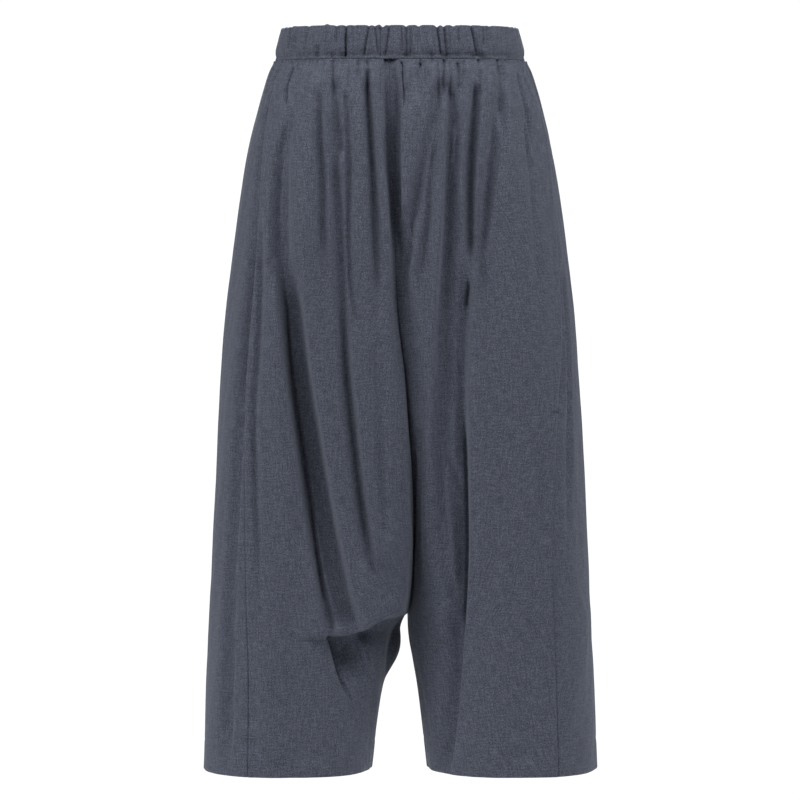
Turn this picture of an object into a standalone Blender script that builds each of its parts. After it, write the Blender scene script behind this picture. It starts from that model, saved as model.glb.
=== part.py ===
"""Wide-leg pull-on trousers in grey wool flannel, in the hollow form they take when worn.

Every piece is a wall of cloth: four panels and a gathered casing round the waist.
A panel is a loft.  Each of its rows is a stretch of a ring round the body or round one leg,
worked out from the tables of sizes, and the rows are then pressed in along the fold lines.
X points to the wearer's left, the front faces -Y and +Z is up.  The origin is the middle of
the waistband.  Sizes are in millimetres until the last step, which makes them metres.
"""

import math

import bpy
import numpy as np

MM = 0.001

# Cloth, seams and the waist casing
WALL = 1.6
CASING_WALL = 3.0
SEAM_GAP = 0.3
CENTRE_GAP = 0.8
SEAM_STRIP = 2.0
WAIST_SEAM = -18.0
CASING_TOP = 18.5
WAIST_TILT = 0.09
TILT_ENDS = -230.0
CROTCH = -624.0

# Gathers under the waist seam, and the ridges of the casing
GATHER_HEIGHT = 1.9
GATHER_LENGTH = 46.0
CASING_RIDGES = 52
CASING_RIDGE_HEIGHT = 2.0
CASING_BUNCHES = 9
CASING_BUNCHING = 0.32
CASING_CENTRE = 42.0
CASING_SHOULDER = 0.4
CASING_LEVELS = (WAIST_SEAM + SEAM_GAP / 2, WAIST_SEAM + SEAM_STRIP, 1.0, CASING_TOP)
POINTS_A_GATHER = 4
POINTS_A_RIDGE = 3

# The front drape of the wearer's right leg ends in a ledge that climbs towards the crotch
LEDGE = -640.0
LEDGE_CLIMB = 18.0
LEDGE_REACH_UP = 150.0
LEDGE_REACH_DOWN = 75.0
CLIMB_FRONT = 46.0
CLIMB_BACK = 120.0

# The seat's fullness that shows between the legs under that drape
BULGE_HEIGHT = 17.0
BULGE_LEVEL = -672.0
BULGE_HALF_LENGTH = 36.0
BULGE_FROM_SEAM = 42.0
BULGE_HALF_WIDTH = 40.0

# The lip of the pocket mouth in each side seam
LIP_RISE = 1.2
LIP_WIDTH = 9.0
MOUTH_TOP = -205.0
MOUTH_BOTTOM = -402.0
MOUTH_DEPTH = 3.4
MOUTH_WIDTH = 15.0

PATH_POINTS = 240

CLOTH_COLOUR = (0.080, 0.090, 0.125, 1.0)
CASING_COLOUR = (0.074, 0.083, 0.112, 1.0)
CLOTH_ROUGHNESS = 0.92


class Table:
    """Rows of sizes with named columns, read at any height along smooth curves."""

    def __init__(self, columns, rows):
        self.columns = columns.split()
        self.rows = rows

    def column(self, name):
        place = self.columns.index(name)
        return np.array([row[place] for row in self.rows], dtype=float)

    def at(self, name, height):
        return smooth_curve(self.column("height"), self.column(name), height)


def smooth_curve(heights, values, height):
    """Cubic through the values, whose slope at each is the harmonic mean of the two chords."""
    along = -heights
    step = np.diff(along)
    chord = np.diff(values) / step
    slope = np.zeros(len(values))
    rising = chord[:-1] * chord[1:] > 0
    mean = 2 * chord[:-1] * chord[1:] / np.where(rising, chord[:-1] + chord[1:], 1)
    slope[1:-1] = np.where(rising, mean, 0)
    slope[0] = chord[0]
    slope[-1] = chord[-1]
    reach = np.clip(-np.asarray(height, dtype=float), along[0], along[-1])
    span = np.clip(np.searchsorted(along, reach, side="right") - 1, 0, len(step) - 1)
    t = (reach - along[span]) / step[span]
    ends = values[span] * (1 + 2 * t) * (1 - t) ** 2 + values[span + 1] * t * t * (3 - 2 * t)
    bend = step[span] * t * (1 - t) * (slope[span] * (1 - t) - slope[span + 1] * t)
    return ends + bend


def ramp(value, low, high):
    """Soft step: 0 below low, 1 above high."""
    t = np.clip((value - low) / (high - low), 0, 1)
    return t * t * (3 - 2 * t)


# The ring's half width and its depths before and behind the side line
RINGS = Table("height half_width front back leg_centre roundness", (
    (-18, 137.0, 96, 98, 42, 2.1),
    (-30, 143.0, 102, 103, 48, 2.1),
    (-45, 148.0, 109, 110, 55, 2.15),
    (-75, 156.5, 117, 117, 66, 2.2),
    (-110, 165.0, 122, 123, 76, 2.25),
    (-160, 173.5, 126, 129, 88, 2.3),
    (-225, 182.0, 128, 134, 100, 2.35),
    (-300, 190.5, 128, 136, 109, 2.4),
    (-390, 197.0, 126, 133, 115, 2.45),
    (-480, 202.0, 122, 128, 118, 2.5),
    (-580, 207.0, 117, 121, 120, 2.5),
    (-680, 211.5, 111, 113, 122, 2.5),
    (-790, 215.5, 105, 106, 123, 2.5),
))

# Where each side seam crosses the front, and how round each leg turns in to the centre
SIDES = Table("height seam_right seam_left turn_right turn_left turn_back", (
    (-18, -126, 130, 3.5, 3.2, 3.0),
    (-45, -136, 142, 4.5, 3.4, 3.2),
    (-75, -141, 152, 5.5, 3.6, 3.4),
    (-110, -145, 159, 6.0, 3.8, 3.6),
    (-180, -148.5, 164, 6.5, 4.0, 3.6),
    (-240, -152, 168, 6.5, 3.8, 3.4),
    (-315, -158, 171.6, 6.0, 3.2, 3.0),
    (-390, -163, 167, 5.5, 2.6, 2.7),
    (-480, -163.5, 163, 5.0, 2.3, 2.5),
    (-560, -163, 160, 5.0, 2.2, 2.4),
    (-633, -161.5, 162, 5.0, 2.2, 2.3),
    (-645, -161, 163, 1.8, 2.2, 2.3),
    (-690, -160, 165, 2.1, 2.3, 2.3),
    (-790, -161, 168, 2.6, 2.4, 2.4),
))

# The centre seams, from the waist to the crotch
CENTRE_FRONT = Table("height x y", (
    (-20, -12, -92),
    (-60, -11, -101),
    (-110, -10.5, -106),
    (-180, -7, -111),
    (-240, -5, -111),
    (-300, -2.5, -103),
    (-360, 4, -92),
    (-420, 8.5, -80),
    (-480, 12.5, -65),
    (-540, 14, -46),
    (-590, 12, -24),
    (-624, 8, 0),
))
CENTRE_BACK = Table("height x y", (
    (-10, 0, 96),
    (-60, 0, 110),
    (-110, 0, 119),
    (-180, 0, 126),
    (-260, 0, 127),
    (-340, 2, 121),
    (-420, 4, 108),
    (-480, 5, 92),
    (-540, 6, 68),
    (-590, 7, 37),
    (-624, 8, 0),
))

# The valley over the centre seams: its flanks, its flat floor up to the seam, and how open it is
VALLEYS = Table("height flank_right floor_right flank_left floor_left flank_back floor_back open", (
    (-18, 5, 3.5, 6, 6, 24, 2, 1.0),
    (-60, 5, 4, 6, 7, 26, 2, 1.0),
    (-180, 5, 3, 7, 6, 30, 2, 1.0),
    (-250, 7, 1, 19, 3, 34, 2, 0.95),
    (-330, 10, 0, 34, 0, 40, 1, 0.45),
    (-420, 16, 0, 40, 0, 40, 0, 0.0),
    (-790, 16, 0, 40, 0, 40, 0, 0.0),
))

# The seams inside the legs, from the crotch to the hem
INSEAM_RIGHT = Table("height x y", (
    (-624, 8, 0),
    (-632, -1, -8),
    (-642, -9, -14),
    (-660, -14, -19),
    (-690, -17, -15),
    (-715, -21, -6),
    (-750, -26, 0),
    (-790, -30.5, 0),
))
INSEAM_LEFT = Table("height x y", (
    (-624, 8, 0),
    (-640, 8.5, 0),
    (-654, 10, 0),
    (-670, 13, 0),
    (-703, 18.7, 0),
    (-753, 25, 0),
    (-790, 29.5, 0),
))

# One row a fold.  x1 to x5 are its line at five equal steps from its top to its bottom,
# floor1 to floor3 its flat width towards +X there, low and high its slopes towards -X and +X,
# and deep1 to deep3 its depth at the top, half way and the bottom.
FOLD_COLUMNS = ("name panel face top bottom x1 x2 x3 x4 x5 floor1 floor2 floor3 low high "
                "deep1 deep2 deep3 fade_in fade_out")
FOLDS = Table(FOLD_COLUMNS, (
    ("hip_line", "front_right", "front", -197, -647, -146, -149, -155, -151, -146,
     0, 0, 0, 6, 9, 3, 4.5, 3.5, 60, 140),
    ("hip_valley", "front_right", "front", -75, -250, -116, -129, -132, -132, -128,
     1, 8, 10, 9, 13, 6, 11, 12, 25, 25),
    ("drape_side", "front_right", "front", -225, -646, -128.5, -120, -106, -91, -73,
     14, 18, 28, 6, 8, 15, 24, 11, 50, 20),
    ("drape_foot", "front_right", "front", -634, -714, -75, -71, -66, -60, -50,
     3, 10, 3, 4, 28, 14, 14, 8, 12, 45),
    ("thigh_line", "front_right", "front", -45, -280, -87, -84, -81, -81, -81,
     0, 0, 0, 10, 8, 6, 7, 5, 18, 80),
    ("drape_middle", "front_right", "front", -34, -595, -69, -66, -59, -46, -25,
     0, 0, 0, 12, 9, 7, 8, 10, 18, 90),
    ("belly_line", "front_right", "front", -50, -337, -59, -54, -54, -52, -40,
     0, 0, 0, 5, 8, 5, 5, 6, 15, 70),
    ("belly_inner", "front_right", "front", -34, -327, -37, -31, -26, -25, -24,
     0, 0, 0, 8, 8, 6, 6, 3, 16, 110),
    ("cross_main", "front_left", "front", -34, -284, 46, 33, 20, 10, 3,
     0, 0, 0, 10, 14, 7, 8, 3, 16, 60),
    ("cross_second", "front_left", "front", -98, -300, 42, 34, 30, 24, 19,
     0, 0, 0, 6, 7, 4, 5, 4, 30, 90),
    ("thigh_edge", "front_left", "front", -40, -602, 52, 49, 41, 39, 49,
     0, 3, 0, 6, 17, 8, 11, 7, 18, 130),
    ("leg_front_top", "front_left", "front", -40, -262, 84, 77, 75, 75, 74,
     0, 0, 2, 9, 9, 9, 10, 10, 18, 40),
    ("leg_front", "front_left", "front", -235, -800, 75, 66, 67.5, 61, 49,
     0, 0, 0, 32, 6, 10, 17, 11, 50, 40),
    ("hip_left", "front_left", "front", -55, -310, 106, 97, 91, 86, 84,
     0, 0, 0, 8, 11, 7, 8, 5, 18, 90),
    ("hip_outer", "front_left", "front", -30, -140, 127, 133, 139, 143, 147,
     0, 0, 0, 6, 7, 6, 6, 4, 10, 50),
    ("side_right", "back_right", "front", -45, -790, -139, -155, -170, -181, -187,
     0, 2, 4, 17, 5, 6, 8, 7, 22, 60),
    ("side_left", "back_left", "front", -230, -560, 173, 179, 180, 178, 176,
     0, 0, 0, 5, 13, 6, 7, 4, 50, 120),
    ("seat_right_1", "back_right", "back", -30, -250, -28, -32, -35, -37, -38,
     0, 0, 0, 9, 8, 6, 6, 4, 15, 110),
    ("seat_right_2", "back_right", "back", -30, -380, -62, -68, -73, -77, -79,
     0, 1, 0, 10, 11, 8, 9, 5, 15, 160),
    ("seat_right_3", "back_right", "back", -30, -220, -95, -103, -110, -114, -116,
     0, 0, 0, 8, 9, 7, 7, 4, 15, 90),
    ("flank_right", "back_right", "back", -35, -560, -122, -138, -149, -156, -160,
     0, 2, 0, 11, 15, 6, 10, 7, 25, 220),
    ("leg_back_right", "back_right", "back", -290, -775, -66, -76, -84, -90, -93,
     4, 8, 6, 17, 19, 8, 14, 9, 130, 150),
    ("under_seat_right", "back_right", "back", -400, -640, -22, -30, -42, -56, -72,
     0, 2, 0, 13, 17, 7, 11, 7, 70, 90),
    ("seat_left_1", "back_left", "back", -30, -290, 24, 29, 35, 38, 40,
     0, 0, 0, 8, 9, 6, 7, 4, 15, 140),
    ("seat_left_2", "back_left", "back", -30, -210, 58, 63, 66, 69, 70,
     0, 0, 0, 9, 9, 7, 6, 4, 15, 90),
    ("seat_left_3", "back_left", "back", -30, -420, 89, 98, 106, 112, 115,
     0, 1, 0, 11, 10, 7, 10, 6, 15, 190),
    ("flank_left", "back_left", "back", -35, -300, 124, 140, 151, 158, 162,
     0, 0, 0, 9, 10, 6, 7, 4, 20, 130),
    ("leg_back_left", "back_left", "back", -330, -795, 74, 84, 88, 90, 88,
     4, 9, 6, 19, 17, 8, 14, 10, 130, 120),
    ("under_seat_left", "back_left", "back", -430, -650, 26, 33, 46, 62, 80,
     0, 2, 0, 15, 13, 7, 10, 7, 70, 90),
))

# Lines that columns of points keep to: the share of the columns before each, the folds that
# it follows from the waist down, the side of the floor and the distance beyond it
GUIDES = {
    "front_right": (
        (0.21, ("hip_valley", "drape_side"), 0, -5.0),
        (0.25, ("hip_valley", "drape_side"), 0, 0.0),
        (0.34, ("hip_valley", "drape_side"), 1, 0.0),
        (0.38, ("hip_valley", "drape_side"), 1, 5.5),
        (0.55, ("drape_middle",), 0, 0.0),
    ),
    "front_left": (
        (0.23, ("cross_main",), 0, 0.0),
        (0.43, ("thigh_edge",), 0, 0.0),
        (0.60, ("leg_front_top", "leg_front"), 0, 0.0),
        (0.64, ("leg_front_top", "leg_front"), 0, 6.0),
        (0.76, ("hip_left",), 0, 0.0),
    ),
    "back_right": (),
    "back_left": (),
}
GUIDE_STARTS = -20.0
GUIDE_HOLDS = -60.0
GUIDE_SWITCH = 12.0
GUIDE_RELAXES = 110.0
SIDE_SHARE = 0.32
SIDE_STRETCH = 70.0
LEAST_SHARE = 0.4

# The levels of the rows: the second stands plumb under the first, so that the edge is square
UPPER_ROWS = (-18, -20, -34, -54, -82, -118, -165, -220, -285, -350, -420, -490, -560, -600, -624)
LEFT_ROWS = UPPER_ROWS + (-670, -730, -790)
RIGHT_ROWS = UPPER_ROWS + (-633, -639, -645, -653, -664, -678, -695, -716, -750, -790)
PLUMB = -20.0

FRONT_GATHERS = 11
BACK_GATHERS = 8


def superellipse(turn, power):
    """Points where |X|^power + |Y|^power is 1, at the given angles."""
    across = np.cos(turn)
    along = np.sin(turn)
    radius = (np.abs(across) ** power + np.abs(along) ** power) ** (-1 / power)
    return radius * across, radius * along


def end_of_row(panel, height):
    """Where a row meets the centre seam, or the seam inside its leg."""
    centre = CENTRE_FRONT if panel.startswith("front") else CENTRE_BACK
    inside = INSEAM_RIGHT if panel.endswith("right") else INSEAM_LEFT
    above = height >= CROTCH
    x = np.where(above, centre.at("x", height), inside.at("x", height))
    y = np.where(above, centre.at("y", height), inside.at("y", height))
    return x, y


def ledge_climb(height):
    """How far a row of the draped front climbs at its centre end."""
    up = ramp(height, LEDGE + LEDGE_REACH_UP, LEDGE)
    down = ramp(height, LEDGE - LEDGE_REACH_DOWN, LEDGE)
    return LEDGE_CLIMB * np.where(height > LEDGE, up, down)


def row_paths(panel, heights):
    """Dense points of each row before folding, in order of rising x, or round the side."""
    side = -1 if panel.endswith("right") else 1
    front = panel.startswith("front")
    rows = np.minimum(np.asarray(heights, dtype=float), PLUMB)[:, None]
    half_width = RINGS.at("half_width", rows)
    centre = RINGS.at("leg_centre", rows)
    power = RINGS.at("roundness", rows)
    depth = -RINGS.at("front", rows) if front else RINGS.at("back", rows)
    seam = np.abs(SIDES.at("seam_right" if side < 0 else "seam_left", rows))
    turn_name = "turn_back" if not front else ("turn_right" if side < 0 else "turn_left")
    turn = SIDES.at(turn_name, rows)

    reach = np.clip((seam - centre) / (half_width - centre), 0, 0.9995)
    seam_turn = np.arctan2((1 - reach ** power) ** (1 / power), reach)
    steps = np.linspace(0, 1, PATH_POINTS)[None, :]
    last = math.pi / 2 if front else -math.pi / 2
    across, along = superellipse(seam_turn + (last - seam_turn) * steps, power)
    outer_x = side * (centre + (half_width - centre) * across)
    front_depth = RINGS.at("front", rows)
    back_depth = RINGS.at("back", rows)
    outer_y = np.where(along > 0, -front_depth * along, -back_depth * along)

    end_height = rows + (ledge_climb(rows) if side < 0 else 0)
    end_x, end_y = end_of_row(panel, end_height)
    gap = SEAM_GAP + (CENTRE_GAP - SEAM_GAP) * (1 - VALLEYS.at("open", rows))
    end_x = end_x + side * gap / 2
    inward, forward = superellipse(math.pi / 2 * (1 - steps), turn)
    inner_x = side * centre + (end_x - side * centre) * inward
    part = "back" if not front else ("right" if side < 0 else "left")
    span = np.abs(end_x - side * centre)
    floor_starts = 1 - VALLEYS.at("floor_" + part, rows) / span
    flank_starts = floor_starts - VALLEYS.at("flank_" + part, rows) / span
    valley = 1 - ramp(inward, flank_starts, floor_starts)
    forward = forward + VALLEYS.at("open", rows) * (valley - forward)
    inner_y = end_y + (depth - end_y) * forward

    x = np.concatenate([outer_x, inner_x[:, 1:]], axis=1)
    y = np.concatenate([outer_y, inner_y[:, 1:]], axis=1)
    if side > 0:
        x = x[:, ::-1]
        y = y[:, ::-1]
    return x, y


def arc_lengths(x, y):
    """Distance along each row from its first point."""
    steps = np.hypot(np.diff(x, axis=1), np.diff(y, axis=1))
    return np.concatenate([np.zeros((len(x), 1)), np.cumsum(steps, axis=1)], axis=1)


def place_on_row(panel, face, path_x, path_y, arc, x_line):
    """Arc position on one row where the front or back face has the given x."""
    if panel.startswith("front"):
        use = slice(None)
    else:
        on_face = path_y < 0 if face == "front" else path_y >= 0
        use = np.flatnonzero(on_face)
    xs = path_x[use]
    arcs = arc[use]
    order = np.argsort(xs)
    return np.interp(x_line, xs[order], arcs[order])


def five_steps(row, names, t):
    """Smooth curve through a fold's values at equal steps, at t from 0 to 1."""
    values = np.array([row[FOLDS.columns.index(name)] for name in names], dtype=float)
    return smooth_curve(-np.linspace(0, 1, len(values)), values, -t)


def fold_value(row, name):
    return row[FOLDS.columns.index(name)]


def fold_line(row, height):
    """The x of a fold's line and the width of its floor at the given heights."""
    top = fold_value(row, "top")
    bottom = fold_value(row, "bottom")
    t = np.clip((top - height) / (top - bottom), 0, 1)
    x = five_steps(row, ("x1", "x2", "x3", "x4", "x5"), t)
    floor = five_steps(row, ("floor1", "floor2", "floor3"), t)
    return x, floor


def fold_depth(row, height):
    """Depth along a fold, which fades in at its top and out at its bottom."""
    top = fold_value(row, "top")
    bottom = fold_value(row, "bottom")
    t = np.clip((top - height) / (top - bottom), 0, 1)
    depth = five_steps(row, ("deep1", "deep2", "deep3"), t)
    fade_in = ramp(top - height, 0, fold_value(row, "fade_in"))
    fade_out = ramp(height - bottom, 0, fold_value(row, "fade_out"))
    return depth * fade_in * fade_out


def fold_press(panel, heights, arc_at, path_x, path_y, arc):
    """How far every fold presses in the points at the arc positions of each row."""
    press = np.zeros_like(arc_at)
    for row in FOLDS.rows:
        if fold_value(row, "panel") != panel:
            continue
        face = fold_value(row, "face")
        x_line, floor = fold_line(row, heights)
        depth = fold_depth(row, heights)
        low = fold_value(row, "low")
        high = fold_value(row, "high")
        for i in np.flatnonzero(depth > 0.01):
            start = place_on_row(panel, face, path_x[i], path_y[i], arc[i], x_line[i])
            stop = place_on_row(panel, face, path_x[i], path_y[i], arc[i], x_line[i] + floor[i])
            first, second = (start, stop) if stop >= start else (stop, start)
            along_x = panel.startswith("front") or face == "back"
            before, after = (low, high) if along_x else (high, low)
            rise = ramp(arc_at[i], first - before, first)
            fall = ramp(-arc_at[i], -second - after, -second)
            press[i] += depth[i] * rise * fall
    return press


def gather_press(columns, heights, count):
    """Gathers under the waist seam: uneven waves that fade down the panel."""
    wave = count * columns[None, :]
    number = np.floor(wave)
    size = 1 + 0.35 * np.sin(2.4 * number + 0.7)
    length = GATHER_LENGTH * (1 + 0.45 * np.sin(1.7 * number + 2.0))
    below = np.maximum(PLUMB - heights[:, None], 0)
    fade = np.exp(-((below / length) ** 2))
    return GATHER_HEIGHT * size * fade * np.cos(2 * math.pi * wave)


def lip_press(panel, heights, arc_at, length):
    """The side seam's edge: raised on the front panel, tucked behind it on the back panel."""
    seam_first = panel.endswith("right")
    from_seam = arc_at if seam_first else length[:, None] - arc_at
    if panel.startswith("front"):
        return -LIP_RISE * (1 - ramp(from_seam, 0, LIP_WIDTH))
    mouth = ramp(heights, MOUTH_BOTTOM, MOUTH_BOTTOM + 25) * ramp(-heights, -MOUTH_TOP, 25 - MOUTH_TOP)
    return MOUTH_DEPTH * mouth[:, None] * (1 - ramp(from_seam, 3, MOUTH_WIDTH))


def bulge_press(heights, arc_at, length):
    """The fullness of the seat just behind the inside seam of the wearer's right leg."""
    from_seam = length[:, None] - arc_at
    across = np.clip(1 - ((from_seam - BULGE_FROM_SEAM) / BULGE_HALF_WIDTH) ** 2, 0, 1) ** 2
    up = np.clip(1 - ((heights - BULGE_LEVEL) / BULGE_HALF_LENGTH) ** 2, 0, 1) ** 2
    return -BULGE_HEIGHT * up[:, None] * across


def guide_line(folds, edge, beyond, heights):
    """The x of a guide, which passes from one fold to the next where that one begins."""
    by_name = {fold_value(row, "name"): row for row in FOLDS.rows}
    x_line, floor = fold_line(by_name[folds[0]], heights)
    x_line = x_line + edge * floor
    for name in folds[1:]:
        start = fold_value(by_name[name], "top")
        x_next, floor = fold_line(by_name[name], heights)
        blend = ramp(-heights, -start - GUIDE_SWITCH, -start + GUIDE_SWITCH)
        x_line = (1 - blend) * x_line + blend * (x_next + edge * floor)
    bottom = fold_value(by_name[folds[-1]], "bottom")
    hold = ramp(-heights, -GUIDE_STARTS, -GUIDE_HOLDS) * ramp(heights, bottom - GUIDE_RELAXES, bottom)
    return x_line + beyond, hold


def column_places(panel, columns, heights, path_x, path_y, arc):
    """Arc positions of the columns, which keep to the panel's main fold lines."""
    length = arc[:, -1]
    fixed = [0.0]
    fractions = [np.zeros(len(heights))]
    for share, folds, edge, beyond in GUIDES[panel]:
        x_line, hold = guide_line(folds, edge, beyond, heights)
        at = np.array([place_on_row(panel, "front", path_x[i], path_y[i], arc[i], x_line[i])
                       for i in range(len(heights))])
        fixed.append(share)
        fractions.append((1 - hold) * share + hold * at / length)
    if panel == "back_right":
        fixed.append(SIDE_SHARE)
        fractions.append(SIDE_STRETCH / length)
    if panel == "back_left":
        fixed.append(1 - SIDE_SHARE)
        fractions.append(1 - SIDE_STRETCH / length)
    fixed.append(1.0)
    fractions.append(np.ones(len(heights)))
    guide_table = np.array(fractions)
    for k in range(len(fixed) - 2, 0, -1):
        room = LEAST_SHARE * (fixed[k + 1] - fixed[k])
        guide_table[k] = np.minimum(guide_table[k], guide_table[k + 1] - room)
    for k in range(1, len(fixed) - 1):
        room = LEAST_SHARE * (fixed[k] - fixed[k - 1])
        guide_table[k] = np.maximum(guide_table[k], guide_table[k - 1] + room)
    return np.array([np.interp(columns, fixed, guide_table[:, i]) * length[i]
                     for i in range(len(heights))])


def panel_points(panel, row_heights, gathers):
    """The panel's outer face as a grid of points, rows from the waist to the hem."""
    heights = np.asarray(row_heights, dtype=float)
    column_count = gathers * POINTS_A_GATHER
    columns = np.linspace(0, 1, column_count + 1)
    path_x, path_y = row_paths(panel, heights)
    arc = arc_lengths(path_x, path_y)
    length = arc[:, -1]
    arc_at = column_places(panel, columns, heights, path_x, path_y, arc)
    strip = np.stack([np.full(len(heights), SEAM_GAP / 2), np.full(len(heights), SEAM_STRIP)], axis=1)
    inside = np.clip(arc_at[:, 1:-1], SEAM_STRIP + 0.5, length[:, None] - SEAM_STRIP - 0.5)
    arc_at = np.concatenate([strip, inside, length[:, None] - strip[:, ::-1]], axis=1)
    columns = np.concatenate([[0, 0.25 / column_count], columns[1:-1], [1 - 0.25 / column_count, 1]])

    pressed_at = np.clip(arc_at, SEAM_STRIP, length[:, None] - SEAM_STRIP)
    press = fold_press(panel, heights, pressed_at, path_x, path_y, arc)
    centre_is_last = panel.endswith("right")
    from_centre = length[:, None] - pressed_at if centre_is_last else pressed_at
    press *= ramp(from_centre, 1, 12)
    press += gather_press(columns, heights, gathers) * ramp(from_centre, 1, 8)
    press += lip_press(panel, heights, pressed_at, length)
    if panel == "back_right":
        press += bulge_press(heights, pressed_at, length)

    x = np.array([np.interp(arc_at[i], arc[i], path_x[i]) for i in range(len(heights))])
    y = np.array([np.interp(arc_at[i], arc[i], path_y[i]) for i in range(len(heights))])
    ahead = arc_at + 0.5
    behind = arc_at - 0.5
    along_x = np.array([np.interp(ahead[i], arc[i], path_x[i]) - np.interp(behind[i], arc[i], path_x[i])
                        for i in range(len(heights))])
    along_y = np.array([np.interp(ahead[i], arc[i], path_y[i]) - np.interp(behind[i], arc[i], path_y[i])
                        for i in range(len(heights))])
    size = np.hypot(along_x, along_y)
    outward = 1 if panel.startswith("front") else -1
    normal_x = outward * along_y / size
    normal_y = -outward * along_x / size

    tilt = WAIST_TILT * ramp(heights, TILT_ENDS, WAIST_SEAM)[:, None]
    z = heights[:, None] + tilt * y
    z[0] -= SEAM_GAP / 2
    if panel.endswith("right"):
        wall = 0.85 * np.abs(path_y[:, -1:] + RINGS.at("front", heights)[:, None])
        flat = wall if panel.startswith("front") else 2 * SEAM_STRIP
        fade = CLIMB_FRONT if panel.startswith("front") else CLIMB_BACK
        z += ledge_climb(heights)[:, None] * ramp(-from_centre, -flat - fade, -flat)
    x -= normal_x * press
    y -= normal_y * press
    return np.stack([x, y, z], axis=2)


def casing_ring(half_width, front, back):
    """Dense points of one closed ring round the waist, from the back and towards +X."""
    turn = np.linspace(math.pi / 2, -3 * math.pi / 2, 8 * PATH_POINTS + 1)
    across, along = superellipse(turn, 2.1)
    straight = CASING_CENTRE * np.clip(across / CASING_SHOULDER, -1, 1)
    x = straight + (half_width - CASING_CENTRE) * across
    y = np.where(along < 0, front, back) * along
    return x, y


def casing_points():
    """The waist casing's outer face: a closed ring of uneven ridges, rows from bottom to top."""
    count = CASING_RIDGES * POINTS_A_RIDGE
    place = np.arange(count) / count
    bunched = place + CASING_BUNCHING * np.sin(2 * math.pi * CASING_BUNCHES * place) / CASING_RIDGES
    ridge = np.arange(count) / POINTS_A_RIDGE
    size = 1 + 0.45 * np.sin(2.1 * np.floor(ridge) + 0.4)
    rows = []
    for level in CASING_LEVELS:
        share = max(level - CASING_LEVELS[1], 0) / (CASING_TOP - CASING_LEVELS[1])
        ring_x, ring_y = casing_ring(137 - 6.5 * share, 96 - 2.5 * share, 98 - 2.5 * share)
        arc = arc_lengths(ring_x[None, :], ring_y[None, :])[0]
        at = bunched * arc[-1]
        x = np.interp(at, arc, ring_x)
        y = np.interp(at, arc, ring_y)
        swell = 0.45 + 0.55 * math.sin(math.pi * share)
        lift = 1 + CASING_RIDGE_HEIGHT * size * swell * np.cos(2 * math.pi * ridge) / np.hypot(x, y)
        z = level + WAIST_TILT * y
        rows.append(np.stack([x * lift, y * lift, z], axis=1))
    return np.array(rows)


def grid_object(name, points, collection, closed=False):
    """A mesh of four-sided faces through a grid of points, given in millimetres."""
    rows, columns = points.shape[:2]
    wrap = columns if closed else columns - 1
    faces = []
    for i in range(rows - 1):
        for j in range(wrap):
            k = (j + 1) % columns
            faces.append((i * columns + j, (i + 1) * columns + j, (i + 1) * columns + k, i * columns + k))
    mesh = bpy.data.meshes.new(name)
    mesh.from_pydata((points.reshape(-1, 3) * MM).tolist(), [], faces)
    mesh.update()
    mesh.shade_smooth()
    item = bpy.data.objects.new(name, mesh)
    collection.objects.link(item)
    return item


def add_wall(item, thickness):
    """Give an open surface its thickness, measured inwards from the outer face."""
    wall = item.modifiers.new("Wall", "SOLIDIFY")
    wall.thickness = thickness * MM
    wall.offset = -1.0
    wall.use_even_offset = False
    wall.use_rim = True


def add_material(item, colour):
    material = bpy.data.materials.new(item.name + " flannel")
    material.use_nodes = True
    shader = material.node_tree.nodes["Principled BSDF"]
    shader.inputs["Base Color"].default_value = colour
    shader.inputs["Roughness"].default_value = CLOTH_ROUGHNESS
    shader.inputs["Metallic"].default_value = 0.0
    item.data.materials.append(material)


def build():
    for item in list(bpy.data.objects):
        bpy.data.objects.remove(item, do_unlink=True)
    collection = bpy.data.collections.new("Wide-leg trousers")
    bpy.context.scene.collection.children.link(collection)

    panels = (
        ("front_right", RIGHT_ROWS, FRONT_GATHERS),
        ("front_left", LEFT_ROWS, FRONT_GATHERS),
        ("back_right", RIGHT_ROWS, BACK_GATHERS),
        ("back_left", LEFT_ROWS, BACK_GATHERS),
    )
    for name, rows, gathers in panels:
        points = panel_points(name, rows, gathers)
        if name.startswith("back"):
            points = points[:, ::-1]
        item = grid_object(name, points, collection)
        add_wall(item, WALL)
        add_material(item, CLOTH_COLOUR)

    casing = grid_object("waistband", casing_points()[::-1], collection, closed=True)
    add_wall(casing, CASING_WALL)
    add_material(casing, CASING_COLOUR)


build()
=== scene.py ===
# %% [markdown]
# # Wide-leg trousers in grey wool flannel
#
# These are pull-on trousers: four panels of blue-grey flannel hang from a casing with elastic in
# it.  The cloth is cut very wide, so it falls in long folds, and the front of the wearer's right
# leg sags into a drape at the dropped crotch.  Each panel here is one surface, worked out from a
# few tables of real sizes.  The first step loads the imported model, which is the fixed frame that
# every piece of cloth is fitted to.  Sizes of cloth are in millimetres until a mesh is made, and
# those of the camera and the studio in metres.

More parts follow.
